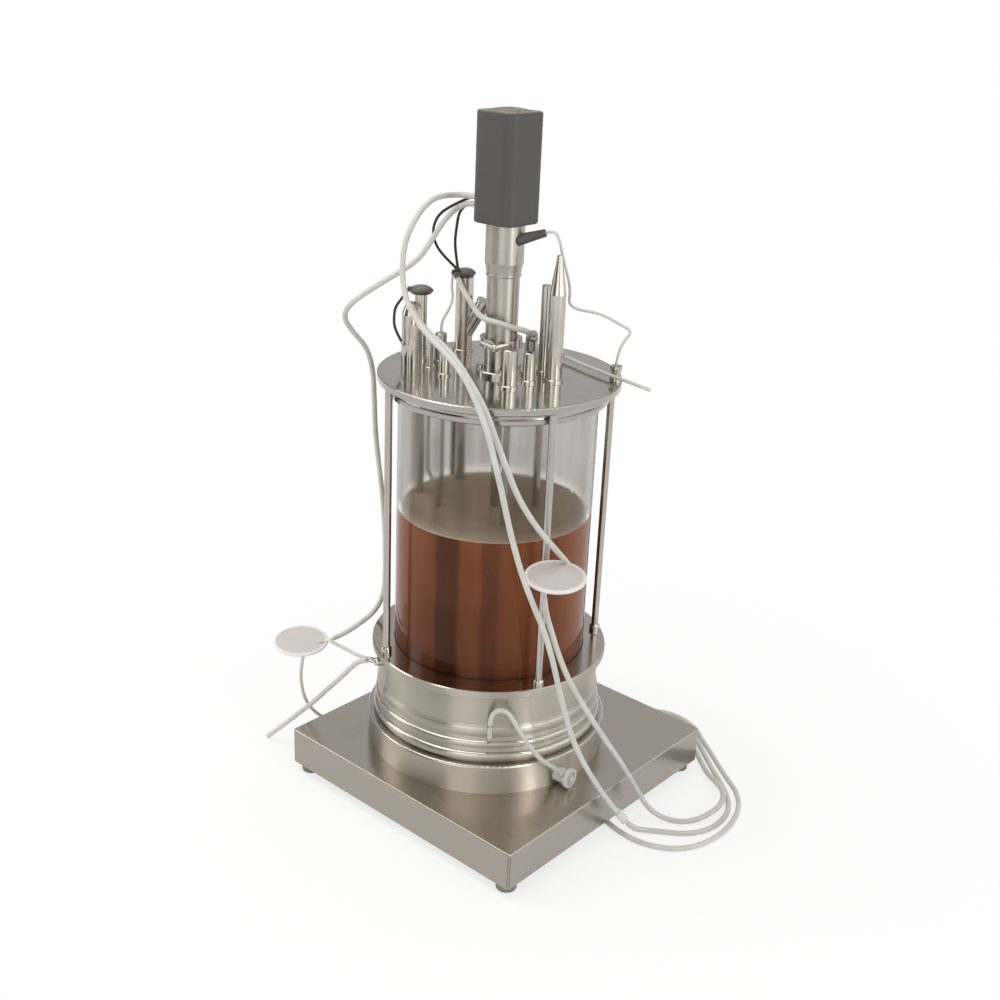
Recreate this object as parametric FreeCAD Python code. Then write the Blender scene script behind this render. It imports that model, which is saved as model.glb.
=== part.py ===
"""Bench bioreactor: stirred glass vessel on a jacketed steel bowl and a folded sheet base.

Millimetres, +Z up. The origin is the centre of the base's footprint on the bench.
The vessel, headplate and drive share one upright axis, a little off the base's centre.
"""
import FreeCAD
import Part
import math
import os

# ---------------------------------------------------------------- driving dimensions
# Base: folded sheet housing, screwed bottom plate and rubber feet
BASE_X = 336.0
BASE_Y = 343.0
BASE_H = 42.5
BASE_SHEET = 2.0
BASE_CORNER_R = 3.0
BASE_EDGE_R = 1.6
CORNER_SEAM_R = 1.4
BOTTOM_PLATE_T = 2.0
FOOT_R = 11.0
FOOT_H = 11.5
FOOT_INSET = 15.0
POST_R = 6.0
POST_INSET = 50.0
SCREW_R = 2.0
SCREW_HEAD_R = 3.5
SCREW_HEAD_H = 3.0
SCREW_GRIP = 8.0

# Vessel axis, from the centre of the base
VESSEL_X = -14.0
VESSEL_Y = -8.0

# Plinth ring that the bowl's jacket stands on, and how far it reaches past the jacket
PLINTH_STEP = 11.8
PLINTH_H = 34.0
PLINTH_WALL = 2.5

# Jacket: rolled steel skin with three beads (swell, rise, height), from the bottom up
FLANGE_OVERHANG = 7.8
JACKET_WALL = 2.0
JACKET_H = 80.0
JACKET_STRAIGHT_RISE = 44.0
JACKET_FLOOR_EXTRA = 1.5
BEADS = ((6.0, 1.0, 11.0), (4.0, 16.5, 8.5), (2.2, 30.0, 11.0))
BEAD_ROOT = 0.35

# Bowl: the vessel's dished steel bottom with its flange
FLANGE_LIP = 2.3
FLANGE_T = 8.8
FLANGE_EDGE = 1.0
GLASS_SEAT = 5.0
BOWL_WALL = 3.0
BOWL_DISH = 18.0
BOWL_STRAIGHT = 34.0

# Glass cylinder, its seals and the ring that grips it under the headplate
GLASS_R = 107.6
GLASS_WALL = 5.0
GLASS_H = 304.2
SEAL_T = 2.0
CLAMP_W = 10.8
CLAMP_H = 13.0
CLAMP_GROOVE = 1.2

# Headplate and tie rods
HEAD_LIP = 1.5
HEAD_T = 8.4
HEAD_EDGE_R = 1.2
ROD_R = 4.0
ROD_GAP = 1.5
ROD_ANGLES = (-23.0, 52.0, 156.0, 246.0)
ROD_THREAD = 5.0
COLLAR_R = 6.0
COLLAR_H = 7.0

# Culture liquid
LIQUID_DEPTH = 160.0

# Agitator: shaft, two six-blade disc turbines, coupling and motor shaft
SHAFT_R = 5.0
SHAFT_END_GAP = 40.0
TURBINE_R = 36.0
TURBINE_DISC_R = 25.0
TURBINE_DISC_T = 2.0
TURBINE_BLADES = 6
BLADE_T = 2.0
BLADE_H = 15.0
BLADE_L = 18.0
HUB_R = 10.0
HUB_H = 20.0
LOWER_TURBINE_RISE = 22.0
TURBINE_SPACING = 85.0
COUPLING_R = 12.0
COUPLING_H = 26.0
MOTOR_SHAFT_R = 4.0
SHAFT_COUPLED = 11.0
BEARING_R = 11.0
BEARING_H = 8.0

# Seal housing on the headplate, column above it and the clamp between them
HOUSING_FLANGE_R = 26.0
HOUSING_FLANGE_T = 5.0
HOUSING_R = 17.0
HOUSING_H = 34.0
HOUSING_SCREW_PCR = 21.5
FERRULE_R = 19.5
FERRULE_T = 2.5
CLAMP_RING_R = 22.5
CLAMP_RING_H = 9.0
WING_R = 3.0
WING_L = 15.0
COLUMN_R = 17.0
COLUMN_WALL = 3.0
COLUMN_H = 69.6
SPIGOT_L = 8.0
DRIVE_COLLAR_R = 20.2
DRIVE_COLLAR_NECK_R = 18.0
DRIVE_COLLAR_H = 54.1
DRIVE_COLLAR_TAPER = 14.0
DRIVE_COLLAR_WALL = 3.0

# Motor: rounded square housing with a low domed top
MOTOR_SIDE = 53.4
MOTOR_CORNER_R = 12.0
MOTOR_H = 110.5
MOTOR_DOME = 3.0
MOTOR_EDGE_R = 2.5
MOTOR_SHAFT_IN = 12.0
GLAND_W = 17.0
GLAND_H = 18.0
GLAND_T = 8.0
GLAND_RISE = 17.6
GLAND_PITCH_Y = 7.5
GLAND_PITCH_Z = 7.5

# Headplate ports: (radius from the axis, angle in degrees)
LEFT_PORT = (94.5, 198.5)
LEFT_POT = (103.5, 202.0)
LEFT_STUB = (94.2, 207.5)
REAR_PORT = (92.2, 158.2)
REAR_ARM_MOUTH = (77.8, 146.3)
THIN_PORT = (74.6, 221.0)
FEED_PORT = (61.5, 240.0)
ANGLED_PORT = (38.6, 72.2)
WELL_PORT = (45.5, 46.2)
CONDENSER_PORT = (61.3, 17.0)
SPARGER_PORT = (55.9, -38.7)
NIPPLE_PORTS = ((45.5, -7.5), (64.0, 121.0), (71.9, 195.0))
FEED_STEM = (62.0, 229.0)
RIM_FITTING_INSET = 7.4
RIM_FITTING_ANGLE = 37.5
RIM_POST = (88.8, 82.2)

PORT_COLLAR_H = 3.0
PORT_COLLAR_EXTRA = 1.5
PORT_EDGE = 0.8
PORT_BELOW = 8.0
LEFT_PORT_R = 6.8
LEFT_PORT_H = 73.0
POT_R = 9.5
POT_H = 50.0
POT_CONE_H = 14.0
POT_NECK_R = 3.5
POT_BRIDGE_R = 4.0
POT_BRIDGE_RISE = 20.0
LEFT_STUB_R = 7.4
LEFT_STUB_H = 43.0
REAR_PORT_R = 10.0
REAR_PORT_H = 84.0
REAR_ARM_R = 8.0
REAR_ARM_RISE = 16.0
REAR_ARM_H = 56.0
REAR_ARM_INSIDE = 4.0
REAR_LIP_T = 2.5
REAR_LIP_EXTRA = 1.0
LEFT_CAP_R = 13.5
REAR_CAP_R = 12.0
PROBE_CAP_H = 8.0
PROBE_R = 6.0
PROBE_STEM_R = 4.5
PROBE_IMMERSION = 110.0
CONDENSER_R = 8.8
CONDENSER_H = 92.0
CONDENSER_CONE_H = 39.5
CONDENSER_TIP_R = 2.6
WELL_R = 5.0
WELL_H = 94.5
WELL_DIP_R = 4.0
WELL_IMMERSION = 130.0
NIPPLE_R = 6.3
NIPPLE_SPIGOT_R = 5.4
NIPPLE_H = 32.0
NIPPLE_BORE_R = 2.0
ANGLED_PORT_R = 7.0
ANGLED_PORT_H = 34.0
RIM_FITTING_R = 6.4
RIM_FITTING_H = 14.0
RIM_GROOVE = 1.0
RIM_POST_R = 3.5
RIM_POST_H = 8.0

# Feed wye: two thin tubes that join above the liquid
FEED_TUBE_R = 2.2
FEED_STEM_R = 3.2
FEED_FORK_RISE = 14.0
FEED_SPLIT_H = 26.0
FEED_IMMERSION = 90.0
THIN_PORT_H = 36.0
THIN_PORT_R = 3.4
FEED_PORT_R = 5.5
FEED_PORT_H = 24.0

# Ring sparger under the lower turbine
SPARGER_RING_R = 29.0
SPARGER_TUBE_R = 3.5
SPARGER_DROP = 20.0
SPARGER_PORT_R = 8.0
SPARGER_PORT_H = 40.0
SPARGER_HOLES = 8
SPARGER_HOLE_R = 0.9

# Disc filters on the lines
FILTER_R = 31.0
FILTER_RIM_T = 4.0
FILTER_EDGE_SWELL = 0.6
FILTER_LIP = 2.2
FILTER_FACE_DROP = 1.0
FILTER_HUB_R = 19.0
FILTER_HUB_T = 7.5

# Hose nipples of the base, jacket and lines
BASE_NIPPLE_R = 3.2
BASE_NIPPLE_L = 9.0
BASE_NIPPLE_FLANGE_R = 6.5
BASE_NIPPLE_FLANGE_T = 2.0
BOSS_R = 4.4
BOSS_T = 2.5
CONNECTOR_R = 8.0
CONNECTOR_L = 20.0
CONNECTOR_FLANGE_R = 11.0
CONNECTOR_FLANGE_T = 4.0
CONNECTOR_RECESS_R = 8.2
CONNECTOR_STUD_R = 3.4
BARB_L = 9.0
ELBOW_L = 4.0
CABLE_BARB_R = 1.9
THIN_BARB_R = 1.9
LEAD_BARB_R = 1.4
OUTLET_BARB_R = 2.5
FILTER_BARB_R = 2.6
PLUG_ROOT_R = 6.2
PLUG_TIP_R = 3.9
PLUG_L = 30.0
CONNECTOR_ANGLE = -10.0
CONNECTOR_TURN = 5.7
CONNECTOR_RISE = 11.3
CONNECTOR_REACH = 16.0
CONNECTOR_STUD_OUT = 1.5
CONNECTOR_NOSE_R = 3.6
CONNECTOR_NOSE_L = 12.0
OUTLET_ANGLE = -46.7
OUTLET_RISE = 45.5
OUTLET_REACH = 9.1
OUTLET_TEE_R = 3.4
OUTLET_TEE_DROP = 11.0
OUTLET_NIPPLE_L = 5.0
INLET_ANGLE = 239.7
INLET_RISE = 70.0
INLET_R = 5.0
INLET_REACH = 5.5
WING_ANGLE = -60.0
WING_REACH = 9.0
CLAMP_STUD_R = 2.6
BASE_NIPPLE_Z = 22.0
BASE_NIPPLES_REAR = (72.0, 88.0, 104.0)
BASE_NIPPLE_SIDE_Y = -95.0

# Tube and cable diameters
LINE_D = 6.0
OUTLET_D = 5.4
THIN_D = 4.0
LEAD_D = 3.0
CABLE_D = 3.0

# Named clearances
FIT = 0.05
SOFT_GAP = 0.3
RUN_GAP = 3.0

# ---------------------------------------------------------------- derived radii and heights
CLAMP_BORE_R = GLASS_R + 2 * SOFT_GAP
CLAMP_R = CLAMP_BORE_R + CLAMP_W
ROD_CIRCLE_R = CLAMP_R + ROD_GAP + ROD_R
HEAD_R = ROD_CIRCLE_R + ROD_R + HEAD_LIP
FLANGE_R = ROD_CIRCLE_R + COLLAR_R + FLANGE_LIP
JACKET_R = FLANGE_R - FLANGE_OVERHANG
PLINTH_R = JACKET_R + PLINTH_STEP
BASE_TOP = FOOT_H + BASE_H
PLINTH_TOP = BASE_TOP + PLINTH_H
JACKET_TOP = PLINTH_TOP + JACKET_H
FLANGE_TOP = JACKET_TOP + FLANGE_T
GLASS_BOTTOM = FLANGE_TOP - GLASS_SEAT + SEAL_T
GLASS_TOP = GLASS_BOTTOM + GLASS_H
HEAD_BOTTOM = GLASS_TOP + SEAL_T
HEAD_TOP = HEAD_BOTTOM + HEAD_T
GLASS_BORE_R = GLASS_R - GLASS_WALL
BOWL_BORE_R = GLASS_BORE_R
BOWL_FLOOR = FLANGE_TOP - BOWL_STRAIGHT
LIQUID_TOP = FLANGE_TOP + LIQUID_DEPTH
SHAFT_BOTTOM = BOWL_FLOOR - BOWL_DISH + SHAFT_END_GAP
LOWER_TURBINE_Z = SHAFT_BOTTOM + LOWER_TURBINE_RISE
SPARGER_Z = LOWER_TURBINE_Z - SPARGER_DROP
HOUSING_TOP = HEAD_TOP + HOUSING_H
COLUMN_TOP = HOUSING_TOP + COLUMN_H
DRIVE_COLLAR_TOP = COLUMN_TOP + DRIVE_COLLAR_H
MOTOR_BOTTOM = DRIVE_COLLAR_TOP
COUPLING_Z = COLUMN_TOP + SPIGOT_L + RUN_GAP
SHAFT_TOP = COUPLING_Z + SHAFT_COUPLED


# ---------------------------------------------------------------- geometry helpers
def vec(x, y, z):
    return FreeCAD.Vector(x, y, z)


def on_head(place, z):
    """Point at a (radius, angle) place about the vessel axis."""
    radius, angle = place
    turn = math.radians(angle)
    return vec(VESSEL_X + radius * math.cos(turn), VESSEL_Y + radius * math.sin(turn), z)


def cylinder(radius, z_low, z_high, centre=(VESSEL_X, VESSEL_Y)):
    return Part.makeCylinder(radius, z_high - z_low, vec(centre[0], centre[1], z_low))


def rod(start, end, radius):
    """Round bar from one point to another."""
    along = end - start
    return Part.makeCylinder(radius, along.Length, start, along)


def cone_rod(start, end, start_r, end_r):
    along = end - start
    return Part.makeCone(start_r, end_r, along.Length, start, along)


def ball(centre, radius):
    return Part.makeSphere(radius, centre)


def fused(shapes):
    """One solid from overlapping shapes."""
    body = shapes[0].multiFuse(shapes[1:]) if len(shapes) > 1 else shapes[0]
    return body.removeSplitter()


def turned(outline, centre=(VESSEL_X, VESSEL_Y)):
    """Solid of revolution; a step of (r, z) is a line, (r_mid, z_mid, r, z) an arc."""
    edges = []
    here = vec(outline[0][-2], 0, outline[0][-1])
    for step in outline[1:] + [outline[0][-2:]]:
        there = vec(step[-2], 0, step[-1])
        if len(step) == 4:
            edges.append(Part.Arc(here, vec(step[0], 0, step[1]), there).toShape())
        else:
            edges.append(Part.LineSegment(here, there).toShape())
        here = there
    solid = Part.Face(Part.Wire(edges)).revolve(vec(0, 0, 0), vec(0, 0, 1), 360)
    solid.translate(vec(centre[0], centre[1], 0))
    return solid


def xy(point):
    return (point.x, point.y)


def save(node, *solids):
    """Write one node's solids as its STEP file."""
    shape = solids[0] if len(solids) == 1 else Part.makeCompound(list(solids))
    shape.exportStep("parts/" + node + ".step")
    return shape


def line_path(points):
    """Straight runs joined by tangent arcs, each as large as its two runs allow."""
    corners = []
    for before, corner, after in zip(points, points[1:], points[2:]):
        back = before - corner
        ahead = after - corner
        turn = math.pi - back.getAngle(ahead)
        shorter = min(back.Length, ahead.Length)
        radius = 0.45 * shorter / math.tan(turn / 2)
        reach = 0.45 * shorter
        u = back.normalize()
        w = ahead.normalize()
        bisector = (u + w).normalize()
        centre = corner + bisector * math.hypot(radius, reach)
        corners.append((corner + u * reach, centre - bisector * radius, corner + w * reach, radius))
    edges = []
    here = points[0]
    for enter, middle, leave, _ in corners:
        edges.append(Part.LineSegment(here, enter).toShape())
        edges.append(Part.Arc(enter, middle, leave).toShape())
        here = leave
    edges.append(Part.LineSegment(here, points[-1]).toShape())
    return Part.Wire(edges), [c[3] for c in corners]


def free_line(node, diameter, points):
    """A flexible tube or cable: one round section along its route."""
    wire, radii = line_path(points)
    start = points[0]
    section = Part.Wire([Part.makeCircle(diameter / 2, start, points[1] - start)])
    solid = wire.makePipeShell([section], True, False)
    ideal = math.pi * (diameter / 2) ** 2 * wire.Length
    print("%-20s length %6.1f  volume ratio %.4f  valid %s  least radius %5.1f = %4.1f diameters" % (
        node, wire.Length, solid.Volume / ideal, solid.isValid(), min(radii), min(radii) / diameter))
    print("    radii", " ".join("%.0f" % r for r in radii))
    save(node, solid)


def ended(route, start=None, end=None):
    """Route whose first and last runs are moved to the fittings they meet."""
    points = [vec(*place) for place in route]
    at_start = start - points[0] if start else vec(0, 0, 0)
    at_end = end - points[-1] if end else vec(0, 0, 0)
    moved = []
    for index, point in enumerate(points):
        share = min(max((index - 1) / (len(points) - 3), 0), 1)
        moved.append(point + at_start * (1 - share) + at_end * share)
    return moved


# ---------------------------------------------------------------- fittings that the lines meet
def gland_exit(side, row):
    """Face of the motor's cable gland: side is -1 or 1 across it, row is -1 or 1 up it."""
    return vec(VESSEL_X - MOTOR_SIDE / 2 - GLAND_T, VESSEL_Y + side * GLAND_PITCH_Y / 2,
               MOTOR_BOTTOM + GLAND_RISE + row * GLAND_PITCH_Z / 2)


def rear_nipple_tip(index):
    return vec(BASE_NIPPLES_REAR[index], BASE_Y / 2 + BASE_NIPPLE_L, BASE_NIPPLE_Z)


def side_nipple_tip():
    return vec(-BASE_X / 2 - BASE_NIPPLE_L, BASE_NIPPLE_SIDE_Y, BASE_NIPPLE_Z)


def cap_middle(port, port_h):
    return on_head(port, HEAD_TOP + port_h + PROBE_CAP_H / 2)


LEFT_CAP = cap_middle(LEFT_PORT, LEFT_PORT_H)
REAR_CAP = cap_middle(REAR_PORT, REAR_PORT_H)
POT_TOP = HEAD_TOP + POT_H
ANGLED_JOINT = on_head(ANGLED_PORT, HEAD_TOP + ANGLED_PORT_H)
RIM_TOP = on_head((HEAD_R - RIM_FITTING_INSET, RIM_FITTING_ANGLE), HEAD_TOP)
POST_FOOT = on_head(RIM_POST, HEAD_TOP)
COLLAR_AXIS = vec(VESSEL_X, VESSEL_Y, COLUMN_TOP)
INLET_HUB = on_head((JACKET_R + INLET_REACH, INLET_ANGLE), PLINTH_TOP + INLET_RISE)
OUTLET_HUB = on_head((JACKET_R + OUTLET_REACH, OUTLET_ANGLE), PLINTH_TOP + OUTLET_RISE)
CONNECTOR_FACE = on_head((PLINTH_R + CONNECTOR_REACH, CONNECTOR_ANGLE), BASE_TOP + CONNECTOR_RISE)


# ---------------------------------------------------------------- routes of the free lines
# Each list holds the corner points of one tube or cable, chosen by hand.
AIR_LINE = ended([
    (-48.7, -11.8, 667.5), (-64, -11.8, 667.5), (-75, -20, 667.3), (-79.5, -34, 667), (-80, -50, 664),
    (-79, -67, 654), (-78, -87, 631), (-73, -97, 607), (-65, -103, 586), (-53, -108, 569), (-37, -110, 555),
    (-14, -114, 543), (13, -117.5, 532), (40, -124.5, 520.5), (62, -128.5, 500), (80, -129.5, 472),
    (90, -129.5, 445), (98.5, -127, 416), (105, -124, 387), (112, -122, 363), (121, -117.5, 332),
    (129.5, -107, 297), (133, -91.5, 264.5), (139, -83, 231),
    (144, -77, 199), (150, -71, 168), (156, -64, 138), (164, -53, 108), (173, -37, 76), (181, -22, 50),
    (185, -12, 36)],
    gland_exit(-1, 1), vec(BASE_X / 2 + 17, -12, 36))
AIR_FLOOR = ended([
    (189, -2, 22), (193, 8, 8), (203, 22, 3.6), (219, 34, 3.1), (237, 47, 3.1), (250, 67, 3.1),
    (254, 93, 3.1), (248, 120, 3.1), (232, 143, 3.1), (209, 162, 3.1), (188, 178, 3.1), (168, 194.5, 3.1),
    (148, 210, 4.5), (127.9, 224.6, 9), (103.9, 221.5, 16), (88, 203.4, 22), (88, 180.5, 22)],
    vec(BASE_X / 2 + 21, -2, 22), rear_nipple_tip(1))
EXHAUST_LINE = ended([
    (-48.7, -11.8, 660), (-62, -11.8, 660), (-72.5, -17.5, 655), (-77, -29, 645), (-79, -41, 631.5),
    (-80.5, -53, 616), (-85.5, -64, 602), (-97, -75, 591), (-118, -93, 573), (-141, -107, 553),
    (-154, -104, 536), (-159, -85, 515), (-163, -62, 495), (-168, -47, 466), (-171, -42, 428),
    (-170, -41, 388), (-165, -40, 350), (-158, -40, 312), (-151, -43, 274), (-144, -48, 234),
    (-136, -57, 202), (-138, -71, 181), (-148, -89, 167), (-157, -101, 157), (-162, -113, 153.5)],
    gland_exit(-1, -1))
FEED_LINE = ended([
    (-99, -58, 548), (-80, -66, 541), (-52, -78, 535), (-20, -90, 531), (14, -103.5, 523), (45.5, -114, 506),
    (70.5, -121, 487), (82.5, -119.5, 462), (93, -114, 433.5), (103, -106, 403), (112, -89, 373),
    (118, -71, 350), (122, -50, 326.5)])
FEED_FLOOR = ended([
    (127, -88, 299), (129, -87, 284), (134, -82, 262), (140, -77, 238), (148, -69, 210), (157, -56, 181),
    (164, -40, 152), (170, -20, 120), (174, 0, 91), (179, 16, 64), (184, 30, 38), (190, 42, 16),
    (202, 52, 5), (219, 60, 3.1), (233, 74, 5), (241, 95, 9.5), (240, 118, 10.5), (228, 139, 10.5),
    (208, 152, 8), (187, 167, 3.1), (168, 183, 3.1), (149, 198, 5), (130.2, 213.4, 9.5), (114.5, 211.4, 16.5),
    (104, 199.5, 22), (104, 180.5, 22)], None, rear_nipple_tip(2))
RETURN_LINE = ended([
    (130, 12, 3.1), (154, 6, 3.1), (180, -1, 3.1), (206, -2, 3.1), (230, 6, 3.1), (249, 21, 3.1),
    (261, 43, 3.1), (266, 71, 3.1), (264, 102, 3.1), (254, 133, 3.1), (236, 157, 3.1), (211, 174, 3.1),
    (187, 191.5, 3.1), (166, 208, 3.1), (145, 222, 4), (124.3, 236.7, 8), (92.9, 232.6, 15.5),
    (72, 208.9, 22), (72, 180.5, 22)], None, rear_nipple_tip(0))
FILTER_LINK = ended([
    (-157, -121.5, 154), (-147, -118.5, 151.5), (-132, -119, 152), (-114, -119.5, 151.5), (-91, -120, 156)],
    None, INLET_HUB + vec(-11.2, 0.7, -2))
INLET_TAIL = ended([
    (-90, -127.5, 158.5), (-98, -131, 155.5), (-107, -133, 147), (-124, -136, 126), (-145, -138, 103),
    (-170, -139, 75), (-194, -141, 51), (-219, -145, 25), (-240, -151.5, 3.5)],
    INLET_HUB + vec(-10.2, -6.8, 0.5))
FILTER_DRAIN = ended([
    (-183.5, -140, 139.5), (-185, -141, 128), (-188.5, -141, 112), (-193, -137.5, 94), (-197.5, -131, 73),
    (-201, -121, 52), (-200.5, -108, 34), (-191, -95, 22), (-177, -95, 22)], None, side_nipple_tip())
OUTLET_TUBE = ended([
    (78, -105.6, 138.5), (78, -105.6, 153.5), (92.5, -96.7, 160.5), (104.5, -87.7, 134), (112.5, -79.5, 115),
    (121, -69.5, 98), (126.7, -54.8, 85.1), (128.2, -44, 74.1)],
    OUTLET_HUB + vec(0, 0, OUTLET_NIPPLE_L), CONNECTOR_FACE + vec(-8.3, -9.5, 8.8))
MOTOR_CABLE_A = ended([
    (-48.7, -4.2, 667.5), (-59, -4.2, 667.5), (-75, -5.5, 661), (-88, -13, 653), (-99, -19.5, 643.5),
    (-105.5, -20.5, 628), (-108.5, -14, 613), (-108, -2, 598), (-103.5, 14, 583.5)],
    gland_exit(1, 1), REAR_CAP + vec(-3.9, -12.3, 6.6))
MOTOR_CABLE_B = ended([
    (-48.7, -4.2, 660), (-58, -4.2, 660), (-70.5, -7, 657), (-79, -8.5, 648), (-83, -7, 634), (-88.5, -3.5, 617),
    (-93, 3, 602), (-97.6, 12, 584)],
    gland_exit(1, -1), REAR_CAP + vec(2, -14.4, 7))
LEFT_CABLE = ended([
    (-111, -51.5, 564.5), (-113, -57, 557), (-117, -63, 548), (-116.5, -65.5, 536), (-115, -65.5, 524),
    (-110.5, -60, 511.5)], LEFT_CAP + vec(-7.5, -13.5, -1))
SENSOR_LEAD = ended([
    (27.3, 6.7, 640.2), (34.5, 11.3, 643), (38.3, 16, 634), (38.7, 21, 618), (40, 28, 600), (41.5, 34.5, 581),
    (37.5, 37, 560.5), (64, 60, 556.5), (81, 71, 546), (91.5, 80, 539.5), (86.5, 72.5, 529), (84, 68, 518.5),
    (83.3, 66.6, 507)],
    COLLAR_AXIS + vec(41.3, 14.7, 48.2), RIM_TOP + vec(0, 0, RIM_FITTING_H + ELBOW_L))
RIM_TUBE = ended([
    (5.2, 78, 493.5), (47.7, 66, 493.5), (91.3, 56.4, 493.5), (118.8, 52, 493.3), (140, 48.5, 492.5)],
    POST_FOOT + vec(7.2, -2, 5.1))
REAR_DROP = ended([
    (-106, 13.3, 575), (-103, 8, 565), (-97, 5, 552), (-92.5, -4.5, 543), (-88, -16, 537), (-83.5, -26.6, 531),
    (-83.5, -26.6, 520.4)],
    REAR_CAP + vec(-6.5, -13, -1.9), on_head(NIPPLE_PORTS[2], HEAD_TOP + NIPPLE_H))
REAR_LINK = ended([
    (-96, 11.3, 573), (-87, 9.7, 562.5), (-73, 4.5, 555), (-55, -7, 551), (-27.5, -27.5, 550), (-8.8, -36.3, 550),
    (4, -32.5, 549), (12.5, -19.5, 543), (14, -2, 538), (8, 14, 531)],
    REAR_CAP + vec(3.6, -15.6, -3.9), ANGLED_JOINT + vec(10.2, -14.8, 8.6))

LINES = (
    ("air_line", LINE_D, AIR_LINE), ("air_floor_line", LINE_D, AIR_FLOOR),
    ("exhaust_line", LINE_D, EXHAUST_LINE), ("feed_line", LINE_D, FEED_LINE),
    ("feed_floor_line", LINE_D, FEED_FLOOR), ("return_line", LINE_D, RETURN_LINE),
    ("filter_link", THIN_D, FILTER_LINK), ("inlet_tail", LINE_D, INLET_TAIL),
    ("filter_drain", THIN_D, FILTER_DRAIN), ("outlet_tube", OUTLET_D, OUTLET_TUBE),
    ("motor_cable_a", CABLE_D, MOTOR_CABLE_A), ("motor_cable_b", CABLE_D, MOTOR_CABLE_B),
    ("left_port_cable", CABLE_D, LEFT_CABLE), ("sensor_lead", LEAD_D, SENSOR_LEAD),
    ("rim_tube", THIN_D, RIM_TUBE), ("rear_port_drop", LEAD_D, REAR_DROP),
    ("rear_port_link", LINE_D, REAR_LINK))


def barb(route, end, length, radius):
    """Hose nipple that meets a line's end face, and the point where it starts."""
    tip = route[end]
    inner = route[end + 1 if end == 0 else end - 1]
    foot = tip + (tip - inner).normalize() * length
    return rod(tip, foot, radius), foot


def elbow(route, end, target, radius):
    """Short nipple on a line's end, turned towards a point inside the piece that holds it."""
    nipple, foot = barb(route, end, ELBOW_L, radius)
    return [nipple, ball(foot, radius), rod(foot, target, radius)]


# ---------------------------------------------------------------- base
def corner_points(inset):
    reach_x = BASE_X / 2 - inset
    reach_y = BASE_Y / 2 - inset
    return [(sx * reach_x, sy * reach_y) for sx in (-1, 1) for sy in (-1, 1)]


def upright_edges(shape):
    return [e for e in shape.Edges if e.BoundBox.ZLength > 1 and e.BoundBox.XLength < 0.01
            and e.BoundBox.YLength < 0.01]


def rounded_box(size_x, size_y, z_low, z_high, radius):
    box = Part.makeBox(size_x, size_y, z_high - z_low, vec(-size_x / 2, -size_y / 2, z_low))
    return box.makeFillet(radius, upright_edges(box))


def edges_at(shape, z):
    return [e for e in shape.Edges if abs(e.BoundBox.ZMin - z) < 0.01 and abs(e.BoundBox.ZMax - z) < 0.01]


PLATE_TOP = FOOT_H + BOTTOM_PLATE_T


def base_nipple_places():
    """Foot and outward direction of each nipple on the base's walls."""
    places = [(vec(x, BASE_Y / 2, BASE_NIPPLE_Z), vec(0, 1, 0)) for x in BASE_NIPPLES_REAR]
    places.append((vec(-BASE_X / 2, BASE_NIPPLE_SIDE_Y, BASE_NIPPLE_Z), vec(-1, 0, 0)))
    return places


def build_base():
    outer = rounded_box(BASE_X, BASE_Y, FOOT_H, BASE_TOP, BASE_CORNER_R)
    outer = outer.makeFillet(BASE_EDGE_R, edges_at(outer, BASE_TOP))
    inner_r = BASE_CORNER_R - BASE_SHEET
    inner = rounded_box(BASE_X - 2 * BASE_SHEET, BASE_Y - 2 * BASE_SHEET, FOOT_H - 1,
                        BASE_TOP - BASE_SHEET, inner_r)
    posts = [cylinder(POST_R, PLATE_TOP, BASE_TOP - BASE_SHEET / 2, place) for place in corner_points(POST_INSET)]
    holes = [cylinder(SCREW_R + FIT, PLATE_TOP, PLATE_TOP + SCREW_GRIP, place)
             for place in corner_points(POST_INSET)]
    spigots = [rod(foot - out * (BASE_SHEET + 1), foot + out, BASE_NIPPLE_R + FIT)
               for foot, out in base_nipple_places()]
    corner = BASE_CORNER_R * (1 - math.sqrt(0.5))
    seams = [cylinder(CORNER_SEAM_R, FOOT_H - 1, BASE_TOP - BASE_SHEET, place) for place in corner_points(corner)]
    housing = fused([outer.cut(inner)] + posts)
    for hole in holes + spigots + seams:
        housing = housing.cut(hole)
    save("base_housing", housing)

    gap = 2 * (BASE_SHEET + SOFT_GAP)
    plate = rounded_box(BASE_X - gap, BASE_Y - gap, FOOT_H, PLATE_TOP, inner_r)
    for place in corner_points(POST_INSET):
        plate = plate.cut(cylinder(SCREW_R + FIT, FOOT_H - 1, PLATE_TOP + 1, place))
    save("base_bottom_plate", plate)

    feet = []
    for place in corner_points(FOOT_INSET):
        foot = cylinder(FOOT_R, 0, FOOT_H, place)
        feet.append(foot.makeFillet(1.5, edges_at(foot, 0)))
    save("base_feet", *feet)

    nipples = []
    for foot, out in base_nipple_places():
        flange = rod(foot, foot + out * BASE_NIPPLE_FLANGE_T, BASE_NIPPLE_FLANGE_R)
        stem = rod(foot - out * (BASE_SHEET + 2), foot + out * BASE_NIPPLE_L, BASE_NIPPLE_R)
        nipples.append(fused([flange, stem]))
    save("base_nipples", *nipples)


def cap_screw(head_seat, down):
    """Socket screw: head_seat is under the head, down points along the shank."""
    head = rod(head_seat, head_seat - down * SCREW_HEAD_H, SCREW_HEAD_R)
    socket = rod(head_seat - down * (SCREW_HEAD_H / 2), head_seat - down * (SCREW_HEAD_H + 1), SCREW_HEAD_R * 0.45)
    shank = rod(head_seat, head_seat + down * SCREW_GRIP, SCREW_R)
    return fused([head, shank]).cut(socket)


def housing_screw_places():
    return [(HOUSING_SCREW_PCR, 45 + 90 * step) for step in range(4)]


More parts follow.
